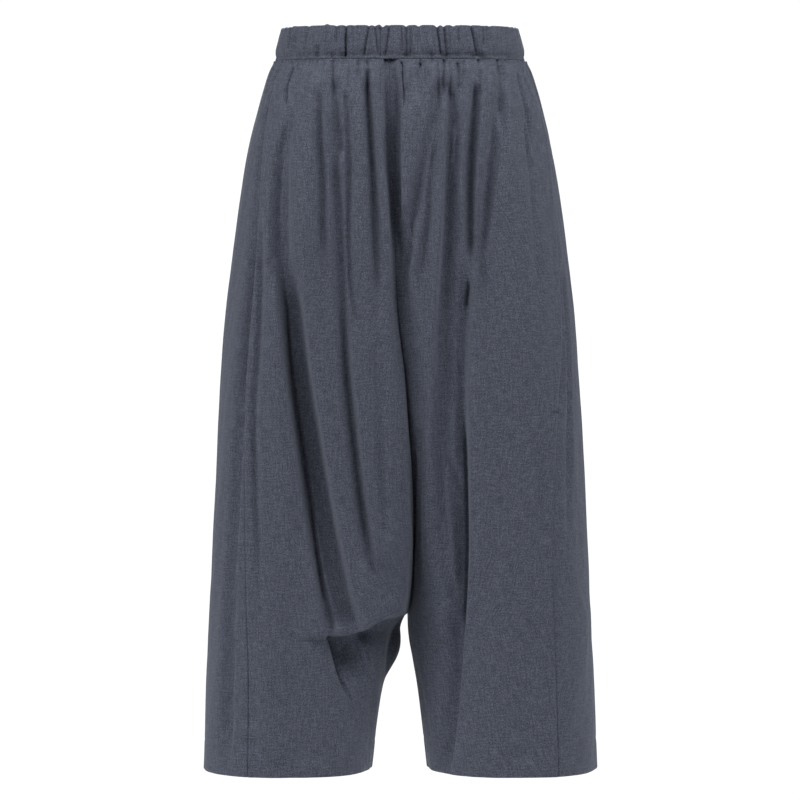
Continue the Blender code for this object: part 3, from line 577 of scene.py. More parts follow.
# %% Table of ripples
RIPPLE_COLUMNS = "top bottom x1 x2 x3 x4 x5 low high spread deep fade_in fade_out"
RIPPLE_ROWS = {
    ("front_right", "front"): (
        # from the waist down to the drape
        (-56, -292, -78, -77, -75, -73, -71, 4, 4, 1.3, -1.6, 20, 60),
        (-23, -308, -40, -43, -42, -40, -38, 6, 6, 1.4, -1.8, 6, 80),
        (-22, -260, -31, -26, -21, -16, -11, 4, 4, 1, -2, 8, 60),
        (-26, -332, -35, -31, -29, -27, -25, 3, 3, 1.4, 1.5, 10, 90),
        (-24, -62, -6, -7, -7, -8, -8, 3, 3, 1, -2.5, 3, 12),
        (-39, -74, -16, -15, -14, -14, -15, 3, 3, 1, 1.8, 8, 14),
        (-88, -132, -61, -61, -62, -61, -61, 4, 4, 1, 1.5, 14, 8),
        (-118, -151, -61, -62, -63, -62, -61, 4, 4, 1, -1.8, 8, 10),
        (-24, -308, -93, -98, -100, -101, -99, 9, 9, 1.2, -1.5, 10, 80),
        (-22, -281, -135, -142, -145, -142, -140, 5, 5, 1.2, -1.8, 10, 60),
        (-25, -71, -115, -119, -122, -122, -122, 2, 2, 1, 2, 4, 10),
        # the drape itself and its tip
        (-159, -624, -106, -97, -81, -62, -45, 9, 7, 1, -2, 60, 40),
        (-266, -614, -63, -56, -47, -35, -24, 4, 4, 1.2, 1.5, 60, 40),
        (-301, -577, -53, -47, -39, -31, -23, 4, 5, 1.2, -1.8, 50, 60),
        (-309, -556, -23, -25, -24, -21, -15, 6, 6, 1.2, 1.8, 60, 60),
        (-351, -584, -13, -12, -12, -12, -15, 6, 6, 1.2, -1.6, 60, 30),
        (-550, -641, -40, -40, -39, -37, -36, 5, 5, 1, -2, 30, 6),
        (-550, -621, -16, -15, -14, -13, -13, 9, 9, 1, 2, 30, 12),
        # beside and below the drape
        (-259, -614, -127, -118, -106, -93, -80, 3, 3, 1, 3, 50, 40),
        (-245, -620, -135, -133, -127, -116, -106, 8, 8, 1.2, -1.6, 60, 60),
        (-505, -674, -92, -86, -77, -65, -49, 4, 4, 1.4, -2.5, 40, 30),
        (-603, -725, -76, -73, -68, -60, -44, 3, 3, 1, 2, 30, 24),
        (-457, -683, -106, -108, -110, -110, -108, 10, 10, 1.2, 1.5, 60, 60),
        (-626, -779, -150, -147, -142, -136, -131, 16, 16, 1.2, -1.8, 60, 10),
        (-653, -779, -106, -103, -100, -97, -95, 16, 16, 1.2, 1.8, 40, 10),
        (-301, -641, -161, -162, -162, -165, -169, 4, 4, 1.4, -1.6, 50, 60),
    ),
    ("front_left", "front"): (
        # short gathers under the waist
        (-25, -54, 8, 8, 7, 7, 6, 4, 4, 1, -2.2, 4, 12),
        (-21, -77, 1, 2, 3, 3, 3, 3, 3, 1, 2.5, 3, 14),
        (-21, -45, 22, 21, 19, 18, 17, 2, 2, 1, 2, 3, 10),
        (-23, -59, 33, 34, 34, 33, 32, 4, 4, 1, -2, 4, 14),
        (-21, -59, 61, 62, 62, 62, 61, 2, 2, 1, 2.4, 3, 14),
        (-52, -99, 56, 57, 57, 58, 58, 4, 4, 1, 1.6, 10, 14),
        (-94, -143, 60, 58, 57, 56, 55, 3, 3, 1, -1.8, 12, 14),
        (-25, -74, 98, 97, 95, 94, 92, 4, 4, 1, -1.8, 5, 20),
        (-263, -296, 73, 73, 72, 71, 71, 2, 2, 1, 2.5, 8, 10),
        # long ridges and troughs from the waist
        (-55, -225, 17, 10, 7, 5, 3, 7, 7, 1, -2, 30, 50),
        (-85, -292, 36, 28, 20, 15, 10, 4, 4, 1.2, -1.8, 24, 60),
        (-24, -313, 50, 48, 44, 40, 36, 3, 3, 1.6, -2.6, 8, 60),
        (-22, -225, 72, 70, 66, 63, 64, 4, 4, 1, -2, 8, 50),
        (-22, -332, 88, 86, 81, 78, 75, 3, 3, 1.3, -2.4, 8, 90),
        (-24, -217, 116, 115, 114, 112, 112, 7, 7, 1.4, -1.6, 10, 60),
        (-23, -127, 108, 108, 109, 109, 109, 3, 3, 1.2, 1.8, 6, 40),
        (-60, -316, 133, 138, 142, 146, 149, 4, 4, 1.6, 1.6, 30, 70),
        (-49, -192, 146, 150, 153, 155, 157, 4, 4, 1.2, -1.4, 30, 50),
        # from the knee down
        (-396, -603, 29, 30, 30, 32, 34, 5, 5, 1.2, -2, 50, 40),
        (-417, -621, 15, 15, 15, 14, 12, 5, 5, 1, 2, 50, 30),
        (-458, -600, 45, 49, 52, 54, 56, 4, 4, 1, -2.2, 20, 30),
        (-396, -659, 67, 68, 67, 65, 63, 2, 2, 1, 2.2, 50, 50),
        (-319, -588, 83, 85, 88, 89, 87, 10, 10, 1, -1.2, 60, 60),
        (-420, -574, 146, 147, 148, 148, 148, 5, 5, 1.2, 1.2, 40, 50),
        (-635, -722, 37, 37, 37, 38, 38, 12, 12, 1, 1.6, 30, 30),
        (-556, -579, 79, 82, 85, 88, 91, 7, 7, 1, -1, 10, 10),
        (-605, -779, 138, 137, 136, 134, 133, 16, 16, 1, 1.4, 60, 10),
    ),
}
RIPPLE_SCALE = 1.9
RIPPLES = named_rows(RIPPLE_COLUMNS, RIPPLE_ROWS)
print(len(RIPPLES), "ripples")

# %% [markdown]
# ## Dents
#
# A dent is a soft pit or bump with a middle: the puckers where the waist seam pulls a gather in,
# and the lumps of cloth near the crotch.  Each is a bell in both directions.

# %% Table of dents
DENT_COLUMNS = "x level half_width half_height deep"
DENT_ROWS = {
    ("front_right", "front"): (
        (-105, -18, 4, 4, 2.2),
        (-87, -18, 3, 3.5, 1.8),
        (-70, -18, 3, 3.5, 2),
        (-58, -19, 3, 4.5, 2.6),
        (-18, -18, 5, 4.5, 1.6),
        (-36, -652, 10, 10, 10),
        (-37, -632, 7, 9, -2.5),
    ),
    ("front_left", "front"): (
        (8, -18, 5, 4.5, 3),
        (34, -18, 3.5, 4, 2.2),
        (48, -19, 5, 5, 3.4),
        (60, -18, 3, 3.5, 1.8),
        (77, -18, 3.5, 4, 2.4),
        (86, -19, 4, 5, 3.4),
        (115, -18, 3.5, 4, 2),
        (54, -614, 9, 9, -2.6),
        (54, -638, 9, 11, 3.2),
        (51, -592, 5, 9, 2.2),
    ),
}
DENTS = named_rows(DENT_COLUMNS, DENT_ROWS)

# %% [markdown]
# ## From rows to cloth
#
# Every effect is a depth at each point of a panel, and the depths are simply added up: folds,
# creases, ripples, dents, the waves of the gathers, the side seam with its pocket mouth, the
# bulge of the seat between the legs, the line of the hem's stitches, and a faint unevenness that
# no cloth is without.  The sum moves each point along the row's own normal.

# %% Depths on a panel
LIP_RISE = 1.2
LIP_WIDTH = 9.0
MOUTH_TOP = -205.0
MOUTH_BOTTOM = -402.0
MOUTH_DEPTH = 3.4
MOUTH_WIDTH = 15.0
MOUTH_FADE = 25.0
MOUTH_START = 3.0
SEAM_GROOVE = 0.08
GROOVE_WIDTH = 1.0
BULGE_HEIGHT = 17.0
BULGE_LEVEL = -672.0
BULGE_HALF_LENGTH = 36.0
BULGE_FROM_SEAM = 42.0
BULGE_HALF_WIDTH = 40.0
GATHER_HEIGHT = {"front": 0.9, "back": 1.5}
GATHERS = {"front": 11, "back": 13}
GATHER_LENGTH = 46.0
HEM_STITCH_LEVEL = -759.0
HEM_STITCH_DEPTH = 0.35
HEM_STITCH_WIDTH = 2.2
WAVE_LENGTHS = (95, 70, 52, 41, 33, 26, 21, 17, 13, 10)
WAVE_SHARE = 0.0045
WAVE_LEAST = (3.5, 0.0, -0.25)   # stretch down the cloth, phase and lean
WAVE_MOST = (9.0, 2 * math.pi, 0.25)
SEAM_HOLDS = 1.0                 # a seam holds the cloth this far, and marks fade in beyond it
MARKS_FREE = 12.0
GATHERS_FREE = 8.0
WAVES_FREE = 14.0
WAVES_BELOW = 60.0
RIPPLE_MARGIN = 16.0
NORMAL_STEP = 0.8
FRONT_FLAT_SHARE = 0.85
BACK_FLAT = 4.0


def place_and_strength(mark, levels):
    """How far along a mark each level is, from 0 at its top to 1 at its bottom, and how strong
    the mark is there, from its fades."""
    t = np.clip((mark["top"] - levels) / (mark["top"] - mark["bottom"]), 0, 1)
    fade_in = ramp(mark["top"] - levels, 0, mark["fade_in"])
    return t, fade_in * ramp(levels - mark["bottom"], 0, mark["fade_out"])


def value_along(mark, name, count, t):
    """The smooth curve through count numbered values of a mark, at equal steps of t."""
    values = np.array([mark[f"{name}{k + 1}"] for k in range(count)], float)
    return smooth_curve(-np.linspace(0, 1, count), values, -t)


def fold_depth(fold, levels, places, line_of):
    """Depth along a fold times a flat floor with a soft slope on each side."""
    t, strength = place_and_strength(fold, levels)
    x = value_along(fold, "x", 5, t)
    deep = value_along(fold, "deep", 3, t) * strength
    one = line_of(x)
    other = line_of(x + value_along(fold, "floor", 3, t))
    first = np.minimum(one, other)
    second = np.maximum(one, other)
    turned = fold["panel"].startswith("back") and fold["face"] == "front"
    before, after = (fold["high"], fold["low"]) if turned else (fold["low"], fold["high"])
    rise = ramp(places, first - before, first)
    fall = ramp(-places, -second - after, -second)
    return deep[:, None] * rise * fall


def crease_depth(crease, levels, places, line_of):
    """A bell across the crease's line, which is a parabola through three places."""
    t, strength = place_and_strength(crease, levels)
    x = (crease["x1"] * (1 - t) * (1 - 2 * t) + crease["x2"] * 4 * t * (1 - t)
         + crease["x3"] * t * (2 * t - 1))
    deep = crease["deep"] * strength
    return deep[:, None] * bell(places - line_of(x), crease["low"], crease["high"])


def ripple_depth(ripple, levels, places, line_of):
    """A bell across a curve through five places, which widens by its spread on the way down."""
    t, strength = place_and_strength(ripple, levels)
    deep = RIPPLE_SCALE * ripple["deep"] * strength
    wider = (1 + (ripple["spread"] - 1) * t)[:, None]
    away = (places - line_of(value_along(ripple, "x", 5, t))) / wider
    return deep[:, None] * bell(away, ripple["low"], ripple["high"])


def dent_depth(dent, levels, places, line_of):
    """A bell across times a bell along."""
    middle = line_of(np.full(len(levels), float(dent["x"])))
    across = bell(places - middle, dent["half_width"], dent["half_width"])
    along = bell(levels - dent["level"], dent["half_height"], dent["half_height"])
    return dent["deep"] * across * along[:, None]


def gather_depth(panel, levels, share):
    """Uneven cosine waves across the top, which fade like a bell down the panel.  Sines of a
    wave's number make each one differ in height and length."""
    part = panel.split("_")[0]
    wave = GATHERS[part] * share
    number = np.floor(wave)
    size = 1 + 0.35 * np.sin(2.4 * number + 0.7)
    length = GATHER_LENGTH * (1 + 0.45 * np.sin(1.7 * number + 2.0))
    below = np.maximum(PLUMB - levels, 0)[:, None]
    return GATHER_HEIGHT[part] * size * np.exp(-(below / length) ** 2) * np.cos(2 * math.pi * wave)


def lip_depth(panel, levels, places, length):
    """The side seam: the front's edge stands up, and the pocket mouth sinks behind it."""
    from_seam = places if panel.endswith("right") else length - places
    groove = SEAM_GROOVE * bell(from_seam, GROOVE_WIDTH, GROOVE_WIDTH)
    if panel.startswith("front"):
        return groove - LIP_RISE * (1 - ramp(from_seam, 0, LIP_WIDTH))
    mouth = ramp(levels, MOUTH_BOTTOM, MOUTH_BOTTOM + MOUTH_FADE)
    mouth = mouth * ramp(-levels, -MOUTH_TOP, MOUTH_FADE - MOUTH_TOP)
    return groove + MOUTH_DEPTH * mouth[:, None] * (1 - ramp(from_seam, MOUTH_START, MOUTH_WIDTH))


def bulge_depth(levels, places, length):
    """The seat's fullness beside the inside seam: (1 - r^2)^2 along and across."""
    from_seam = length - places
    across = np.clip(1 - ((from_seam - BULGE_FROM_SEAM) / BULGE_HALF_WIDTH) ** 2, 0, 1) ** 2
    up = np.clip(1 - ((levels - BULGE_LEVEL) / BULGE_HALF_LENGTH) ** 2, 0, 1) ** 2
    return -BULGE_HEIGHT * up[:, None] * across


def unevenness(panel, levels, places):
    """Long shallow waves of many lengths, slanting a little, with fixed chances per panel."""
    chance = np.random.default_rng(sum(map(ord, panel)))
    total = np.zeros(np.broadcast(levels[:, None], places).shape)
    for wide in WAVE_LENGTHS:
        tall, phase, lean = chance.uniform(WAVE_LEAST, WAVE_MOST)
        swing = places / wide + levels[:, None] / (tall * wide) + lean * levels[:, None] / wide
        total += WAVE_SHARE * wide * np.sin(2 * math.pi * swing + phase)
    return total


def panel_depth(panel, levels, places, length, line_of):
    """All depths of a panel added up, held at 0 close to the centre seam.  line_of gives the
    place on each row of an x on the front or the back of the body."""

    def total(marks, depth_of):
        """The depths of this panel's own marks, added up."""
        own = (mark for mark in marks if mark["panel"] == panel)
        return sum(depth_of(mark, levels, places, lambda x: line_of(x, mark["face"])) for mark in own)

    from_centre = length - places if panel.endswith("right") else places
    from_side = length - from_centre
    depth = total(FOLDS, fold_depth) + total(CREASES, crease_depth) + total(DENTS, dent_depth)
    depth = depth + total(RIPPLES, ripple_depth) * ramp(from_side, 0, RIPPLE_MARGIN)
    depth = depth * ramp(from_centre, SEAM_HOLDS, MARKS_FREE)
    gathers = gather_depth(panel, levels, places / length)
    depth += gathers * ramp(from_centre, SEAM_HOLDS, GATHERS_FREE)
    depth += lip_depth(panel, levels, places, length)
    if panel == "back_right":
        depth += bulge_depth(levels, places, length)
    ends = ramp(from_centre, SEAM_HOLDS, WAVES_FREE) * ramp(from_side, SEAM_HOLDS, WAVES_FREE)
    starts = ramp(-levels, -PLUMB, WAVES_BELOW)[:, None]
    depth += unevenness(panel, levels, places) * ends * starts
    hem_stitches = bell(levels - HEM_STITCH_LEVEL, HEM_STITCH_WIDTH, HEM_STITCH_WIDTH)
    return depth + HEM_STITCH_DEPTH * hem_stitches[:, None]


def along_row(arc, x_row, y_row, places, step):
    """The direction of each row at its places, as the chord from step before to step after."""
    along_x = read_rows(arc, x_row, places + step) - read_rows(arc, x_row, places - step)
    along_y = read_rows(arc, y_row, places + step) - read_rows(arc, y_row, places - step)
    size = np.hypot(along_x, along_y)
    return along_x / size, along_y / size


def panel_surface(panel, levels, share, inset=0, lift=0):
    """Outer face of a panel at levels and at shares of each row from 0 to 1: the row's point,
    moved in by its depth along the row's normal.  inset and lift move whole rows further in and
    up."""
    front = panel.startswith("front")
    x_row, y_row = row_lines(panel, levels)
    arc = arc_lengths(x_row, y_row)
    length = arc[:, -1:]
    places = SEAM_GAP / 2 + share * (length - SEAM_GAP)
    x_line, widest = unrolled(panel, x_row)

    def line_of(x, face):
        """The place on each row of an x, which wraps round the side on a back panel's front."""
        x = x[:, None]
        return read_rows(x_line, arc, 2 * widest - x if face == "front" and not front else x)

    depth = panel_depth(panel, levels, places, length, line_of) + np.reshape(inset, (-1, 1))
    x = read_rows(arc, x_row, places)
    y = read_rows(arc, y_row, places)
    rows = levels[:, None]
    z = rows + WAIST_TILT * ramp(rows, TILT_ENDS, WAIST_SEAM) * y + np.reshape(lift, (-1, 1))
    if panel.endswith("right"):
        front_depth = np.abs(y_row[:, -1:] + RINGS.at("front", rows))
        flat = FRONT_FLAT_SHARE * front_depth if front else BACK_FLAT
        fade = CLIMB_FRONT if front else CLIMB_BACK
        z = z + ledge_climb(rows) * ramp(places - length, -flat - fade, -flat)
    along_x, along_y = along_row(arc, x_row, y_row, places, NORMAL_STEP)
    inward = depth if front else -depth
    return np.stack([x - along_y * inward, y + along_x * inward, z], axis=2)


# %% [markdown]
# ## Cloth meshes with a turned-up hem
#
# A hem is the same cloth, folded up inside and caught with small stitches.  So the grid of a
# panel doesn't stop at the hem: it goes on round a small fold and back up the inside for the
# depth of the turning.  Seen from below, the edge is then soft and double, as on a real leg.
# Solidify gives every sheet its thickness inwards, and the map of UV holds real metres across
# and along the cloth, so that the weave can follow it into each fold.

# %% Making a cloth mesh
WALL = 1.1
HEM_TURNING = 31.0
HEM_FOLD_RADIUS = 1.5
HEM_ROWS = 7


def add_mesh(name, points, faces):
    """A smooth mesh through points in mm, linked into the scene."""
    mesh = bpy.data.meshes.new(name)
    mesh.from_pydata((points.reshape(-1, 3) * MM).tolist(), [], faces)
    mesh.shade_smooth()
    return add_object(name, mesh)


def cloth_mesh(name, points, uv, wall, closed=False):
    """A sheet of four-sided faces through a grid of points in mm, wound so that its outer face
    looks out, with uv in metres at each grid point."""
    rows, columns = points.shape[:2]
    wrap = columns if closed else columns - 1
    i, j = np.meshgrid(np.arange(rows - 1), np.arange(wrap), indexing="ij")
    k = (j + 1) % columns
    above = i * columns
    below = above + columns
    faces = np.stack([above + j, below + j, below + k, above + k], axis=2).reshape(-1, 4)
    piece = add_mesh(name, points, faces.tolist())
    layer = piece.data.uv_layers.new(name="Cloth")
    corner = uv.reshape(-1, 2)[faces.ravel()]
    layer.data.foreach_set("uv", corner.astype(np.float32).ravel())
    solid = piece.modifiers.new("Wall", "SOLIDIFY")
    solid.thickness = wall * MM
    solid.offset = -1.0
    solid.use_rim = True
    print(f"{name}: {4 * len(faces)} triangles")
    return piece


def turned_in(outside, edge, turn, inside, radius, way):
    """Levels, insets and lifts of rows that go on over an edge: a half circle by the angles turn,
    where the inset is r(1 - cos t) and the lift r sin t, up or down by way, then back inside."""
    levels = np.concatenate([outside, np.full(len(turn), edge), inside])
    over = radius * (1 - np.cos(turn))
    inset = np.concatenate([0 * outside, over, np.full(len(inside), 2 * radius)])
    lift = np.concatenate([0 * outside, way * radius * np.sin(turn), 0 * inside])
    return levels, inset, lift


def add_hem(levels):
    """Levels, insets and lifts of a panel's rows with its hem, and the level that each row has
    when the cloth is laid flat."""
    turn = np.linspace(0, math.pi, HEM_ROWS + 1)[1:]
    up = np.linspace(0, HEM_TURNING, HEM_ROWS + 1)[1:]
    run = np.concatenate([levels, HEM - HEM_FOLD_RADIUS * turn, HEM - math.pi * HEM_FOLD_RADIUS - up])
    return (*turned_in(levels, HEM, turn, HEM + up, HEM_FOLD_RADIUS, -1), run)


# %% [markdown]
# ## The four panels
#
# Rows lie closer together at the waist, where the gathers are fine, and at the ledge of the
# drape, where the cloth turns under sharply.  Elsewhere they are 3.4 mm apart, which
# is close enough for any fold in flannel.  The finished surface is measured along the
# cloth, through its folds, because that is what a cutter has to lay out.

# %% Four panels
ROW_STEP = 3.4
FINE_STEP = 1.5
WAIST_FINE_ENDS = -60.0
LEDGE_FINE_FROM = -622.0
LEDGE_FINE_TO = -672.0
ROWS_BELOW_LEDGE = 36
COLUMNS = {"front_right": 170, "front_left": 165, "back_right": 174, "back_left": 186}


def panel_levels(panel):
    """Levels of the rows: fine at the waist and, on the right leg, at the ledge."""
    top = np.arange(WAIST_SEAM - SEAM_GAP / 2, WAIST_FINE_ENDS, -FINE_STEP)
    if panel.endswith("right"):
        middle = np.arange(WAIST_FINE_ENDS, LEDGE_FINE_FROM, -ROW_STEP)
        ledge = np.arange(LEDGE_FINE_FROM, LEDGE_FINE_TO, -FINE_STEP)
        last = np.linspace(LEDGE_FINE_TO, HEM, ROWS_BELOW_LEDGE)
        return np.concatenate([top, middle, ledge, last])
    count = round((WAIST_FINE_ENDS - HEM) / ROW_STEP)
    return np.concatenate([top, np.linspace(WAIST_FINE_ENDS, HEM, count)])


def measure_cut(points, across, run):
    """Widest row, length and area of a panel and the width of its top edge, in metres.  The area
    is the rows' mean distance times their mean width, added up."""
    length = float(run[0] - run[-1])
    height = np.linalg.norm(np.diff(points, axis=0), axis=2).mean(axis=1)
    widths = across[:, -1]
    area = float((height * (widths[1:] + widths[:-1]) / 2).sum())
    return float(widths.max()) * MM, length * MM, area * MM * MM, float(widths[0]) * MM


panels = {}
cuts = {}
for panel, columns in COLUMNS.items():
    levels, inset, lift, run = add_hem(panel_levels(panel))
    share = np.broadcast_to(np.linspace(0, 1, columns), (len(levels), columns))
    points = panel_surface(panel, levels, share, inset, lift)
    steps = np.diff(points, axis=1, prepend=points[:, :1])
    across = np.linalg.norm(steps, axis=2).cumsum(axis=1)
    uv = np.stack([across, np.broadcast_to(run[:, None], across.shape)], axis=2) * MM
    cuts[panel] = measure_cut(points, across, run)
    if panel.startswith("back"):
        points, uv = points[:, ::-1], uv[:, ::-1]
    piece = cloth_mesh(panel + "_cloth", points, uv, WALL)
    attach(piece, "root")
    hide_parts(panel)
    panels[panel] = piece

# %% [markdown]
# ## The waist casing
#
# The waistband is one strip, folded over a flat elastic and sewn down, so it is a closed ring
# with a soft fold along its top.  The elastic pulls it into fine upright creases: some sharp and
# bunched, some barely there.  The grid runs up the outside, over the top fold and down the inside.
# In front the creases come from a table; round the rest a formula spreads uneven ones.

# %% Sizes of the casing
CASING_TOP = 18.5
CASING_FOLD = 2.0
CASING_WALL = 1.0
CASING_CENTRE = 42.0
CASING_SHOULDER = 0.4
CASING_POWER = 2.1
CASING_NARROWS = 6.5
CASING_FLATTENS = 2.5
CASING_COLUMNS = 620
CASING_STEP = 1.5
CASING_FOLD_ROWS = 9
CASING_INSIDE_ROWS = 15
CASING_INSIDE_SHORTER = 2.0
CASING_NORMAL_STEP = 1.0
PUFF = 1.3
PUFF_RISES = (-13.0, -4.0)
PUFF_FALLS = (8.0, 19.0)
STITCH_LEVEL = -13.6
STITCH_GROOVE = 0.9
STITCH_GROOVE_HALF = 1.5

BAND_COLUMNS = "x_top x_bottom upper lower low high deep notch"
BAND_ROWS = (
    (-117.5, -120, 20, -8, 1.3, 1.0, 2.2, 1.2),
    (-114.5, -116, 20, -8, 1.2, 1.2, -1.0, -0.4),
    (-112, -112, 12, -14, 2.2, 2.2, 1.0, 0),
    (-99, -102, 20, -14, 1.6, 2.4, 1.1, 0.6),
    (-86, -88, -2, -18, 2.2, 1.8, 1.4, 0),
    (-78, -77, 20, 8, 4.0, 4.0, -0.5, -1.2),
    (-68, -67.5, 20, -6, 1.2, 2.2, 1.2, 0.8),
    (-60.5, -60.5, 16, -16, 1.2, 1.2, -0.8, 0),
    (-58, -58.5, 20, -18, 1.2, 1.6, 2.4, 0.5),
    (-49, -51, 20, -4, 1.2, 1.4, 0.6, 0.3),
    (-33, -39, 20, -17, 1.2, 1.3, 1.6, 0.9),
    (-30.5, -36, 18, -16, 1.0, 1.0, -0.7, 0),
    (-27, -23, 20, -16, 1.2, 1.3, 1.5, 1.0),
    (-21.5, -21, 17, -18, 1.0, 1.4, 1.5, -0.6),
    (-18.5, -19, 20, -16, 1.0, 1.2, 0.6, 2.4),
    (-11.5, -16, 20, -17, 1.2, 1.4, 1.7, 0.2),
    (2, 3, 18, -14, 1.6, 1.2, 0.9, 0),
    (4.2, 5, 18, -16, 0.9, 0.9, -0.7, 0),
    (6.5, 7, 20, -17, 1.0, 1.0, 1.3, 1.6),
    (11.5, 11, 18, -17, 1.6, 1.8, 1.2, 0),
    (20, 17, 20, -8, 1.6, 1.6, 0.8, 1.5),
    (39.5, 44.5, 20, -16, 1.2, 1.0, 1.9, 2.2),
    (43, 46.5, 18, -16, 1.0, 1.0, -0.6, 0),
    (46.5, 50, 20, -16, 1.1, 1.2, 1.8, 1.6),
    (52.5, 53, 16, -14, 1.3, 1.3, 0.9, 0),
    (57, 57.5, 20, 8, 1.4, 1.4, 0.6, 1.4),
    (62, 63, 20, -4, 1.2, 1.2, 1.1, 0),
    (75.5, 83, 18, -17, 1.1, 1.1, 2.0, 0.4),
    (78.5, 86, 18, -16, 1.1, 1.1, -0.9, 0),
    (88.5, 90, 17, -10, 1.0, 1.0, 1.5, 0.4),
    (92, 92.5, 18, -12, 1.2, 1.4, 0.9, 0.2),
    (97, 96, 20, -2, 1.2, 1.2, 0.9, 0.7),
)
BAND_CREASES = [dict(zip(BAND_COLUMNS.split(), row)) for row in BAND_ROWS]
PUCKERS = [dent for dent in DENTS if dent["level"] > PLUMB]
PUCKER_LEVEL = -16.5
PUCKER_HALF_HEIGHT = 4.0
PUCKER_SPREAD = 1.02
FRONT_BAND = 112.0
FRONT_BAND_FADE = 18.0
FRONT_REACH = 30.0
BAND_FADE_ABOVE = (-1.0, 5.0)
BAND_FADE_BELOW = (0.0, 7.0)
CREASE_SCALE = 2.1
SIDE_RIDGES = 58
SIDE_RIDGE_DEPTH = 0.85
RIDGES_START = (-17.0, -10.0)
RIDGE_POWER = 0.6     # below 1, which makes a ridge round and the crease beside it sharp
RIDGE_MEAN = 0.6
NOTCH_WIDTH = 2.2
SIDE_NOTCH = 0.6
NOTCH_FROM = -2.0
print(len(BAND_CREASES), "creases and", len(PUCKERS), "puckers on the casing's front")

# %% The casing's surface


def casing_rings(levels):
    """Dense closed rings: a superellipse with a straight stretch in the middle of its front and
    back, drawn in a little towards the top."""
    share = ramp(levels, WAIST_SEAM, CASING_TOP)[:, None]
    turn = np.linspace(math.pi / 2, -3 * math.pi / 2, 8 * PATH_POINTS + 1)[None, :]
    across, along = superellipse(turn, CASING_POWER)
    straight = CASING_CENTRE * np.clip(across / CASING_SHOULDER, -1, 1)
    half_width = RINGS.at("half_width", WAIST_SEAM) - CASING_NARROWS * share
    front = RINGS.at("front", WAIST_SEAM) - CASING_FLATTENS * share
    back = RINGS.at("back", WAIST_SEAM) - CASING_FLATTENS * share
    return straight + (half_width - CASING_CENTRE) * across, np.where(along < 0, front, back) * along


def casing_depth(levels, places, x, front):
    """Creases by x in front and by place round the rest, puckers, the stitched groove, and the
    puff of the cloth between the groove and the top."""
    rows = levels[:, None]
    depth = STITCH_GROOVE * bell(rows - STITCH_LEVEL, STITCH_GROOVE_HALF, STITCH_GROOVE_HALF)
    depth = depth - PUFF * ramp(rows, *PUFF_RISES) * (1 - ramp(rows, *PUFF_FALLS))
    fine = np.zeros(places.shape)
    t = (CASING_TOP - rows) / (CASING_TOP - WAIST_SEAM)
    for crease in BAND_CREASES:
        x_line = crease["x_top"] + (crease["x_bottom"] - crease["x_top"]) * t
        fade = ramp(crease["upper"] - rows, *BAND_FADE_ABOVE)
        fade = fade * ramp(rows - crease["lower"], *BAND_FADE_BELOW)
        across = bell(x - x_line, crease["low"], crease["high"])
        fine += CREASE_SCALE * crease["deep"] * fade * across
    for dent in PUCKERS:
        across = bell(x - PUCKER_SPREAD * dent["x"], dent["half_width"], dent["half_width"])
        fine += dent["deep"] * across * bell(rows - PUCKER_LEVEL, PUCKER_HALF_HEIGHT, PUCKER_HALF_HEIGHT)
    wave = SIDE_RIDGES * places / places.max()
    # the ridges' spacing swings, and sines of a ridge's number make it sway and differ in size
    wave = wave + 0.33 * np.sin(2 * math.pi * wave / 6.3) + 0.05 * np.sin(rows / 6 + 2.1 * np.floor(wave))
    size = 0.55 + 0.45 * np.sin(2.3 * np.floor(wave) + 0.4)
    bunch = SIDE_RIDGE_DEPTH * size * (np.abs(np.sin(math.pi * wave)) ** RIDGE_POWER - RIDGE_MEAN)
    return depth + front * fine - (1 - front) * bunch * ramp(rows, *RIDGES_START)


def casing_notches(places, x, front):
    """How far the top edge dips where a crease runs over it."""
    dip = sum(crease["notch"] * bell(x - crease["x_top"], NOTCH_WIDTH, NOTCH_WIDTH)
              for crease in BAND_CREASES)
    wave = SIDE_RIDGES * places / places.max()
    side = 1 + np.sin(2 * math.pi * wave + np.sin(wave))
    return front * dip + (1 - front) * SIDE_NOTCH * side


def casing_surface(levels, places, inset=0, lift=0):
    """Points of the casing at levels and at places along the ring from the back's middle, and
    the level direction that looks out of the cloth at each of them."""
    x_ring, y_ring = casing_rings(levels)
    arc = arc_lengths(x_ring, y_ring)
    at = places * arc[:, -1:] / arc[0, -1]
    x = read_rows(arc, x_ring, at)
    y = read_rows(arc, y_ring, at)
    along_x, along_y = along_row(arc, x_ring, y_ring, at, CASING_NORMAL_STEP)
    front = ramp(-y, 0, FRONT_REACH) * ramp(-np.abs(x), -FRONT_BAND - FRONT_BAND_FADE, -FRONT_BAND)
    depth = casing_depth(levels, places, x, front) + np.reshape(inset, (-1, 1))
    rows = levels[:, None]
    z = rows + WAIST_TILT * y + np.reshape(lift, (-1, 1))
    z = z - casing_notches(places, x, front) * ramp(rows, NOTCH_FROM, CASING_TOP)
    points = np.stack([x + along_y * depth, y - along_x * depth, z], axis=2)
    return points, np.stack([-along_y, along_x], axis=2)


casing_length = float(arc_lengths(*casing_rings(np.array([WAIST_SEAM])))[0, -1])
print("waist casing, round the outside:", round(casing_length), "mm")

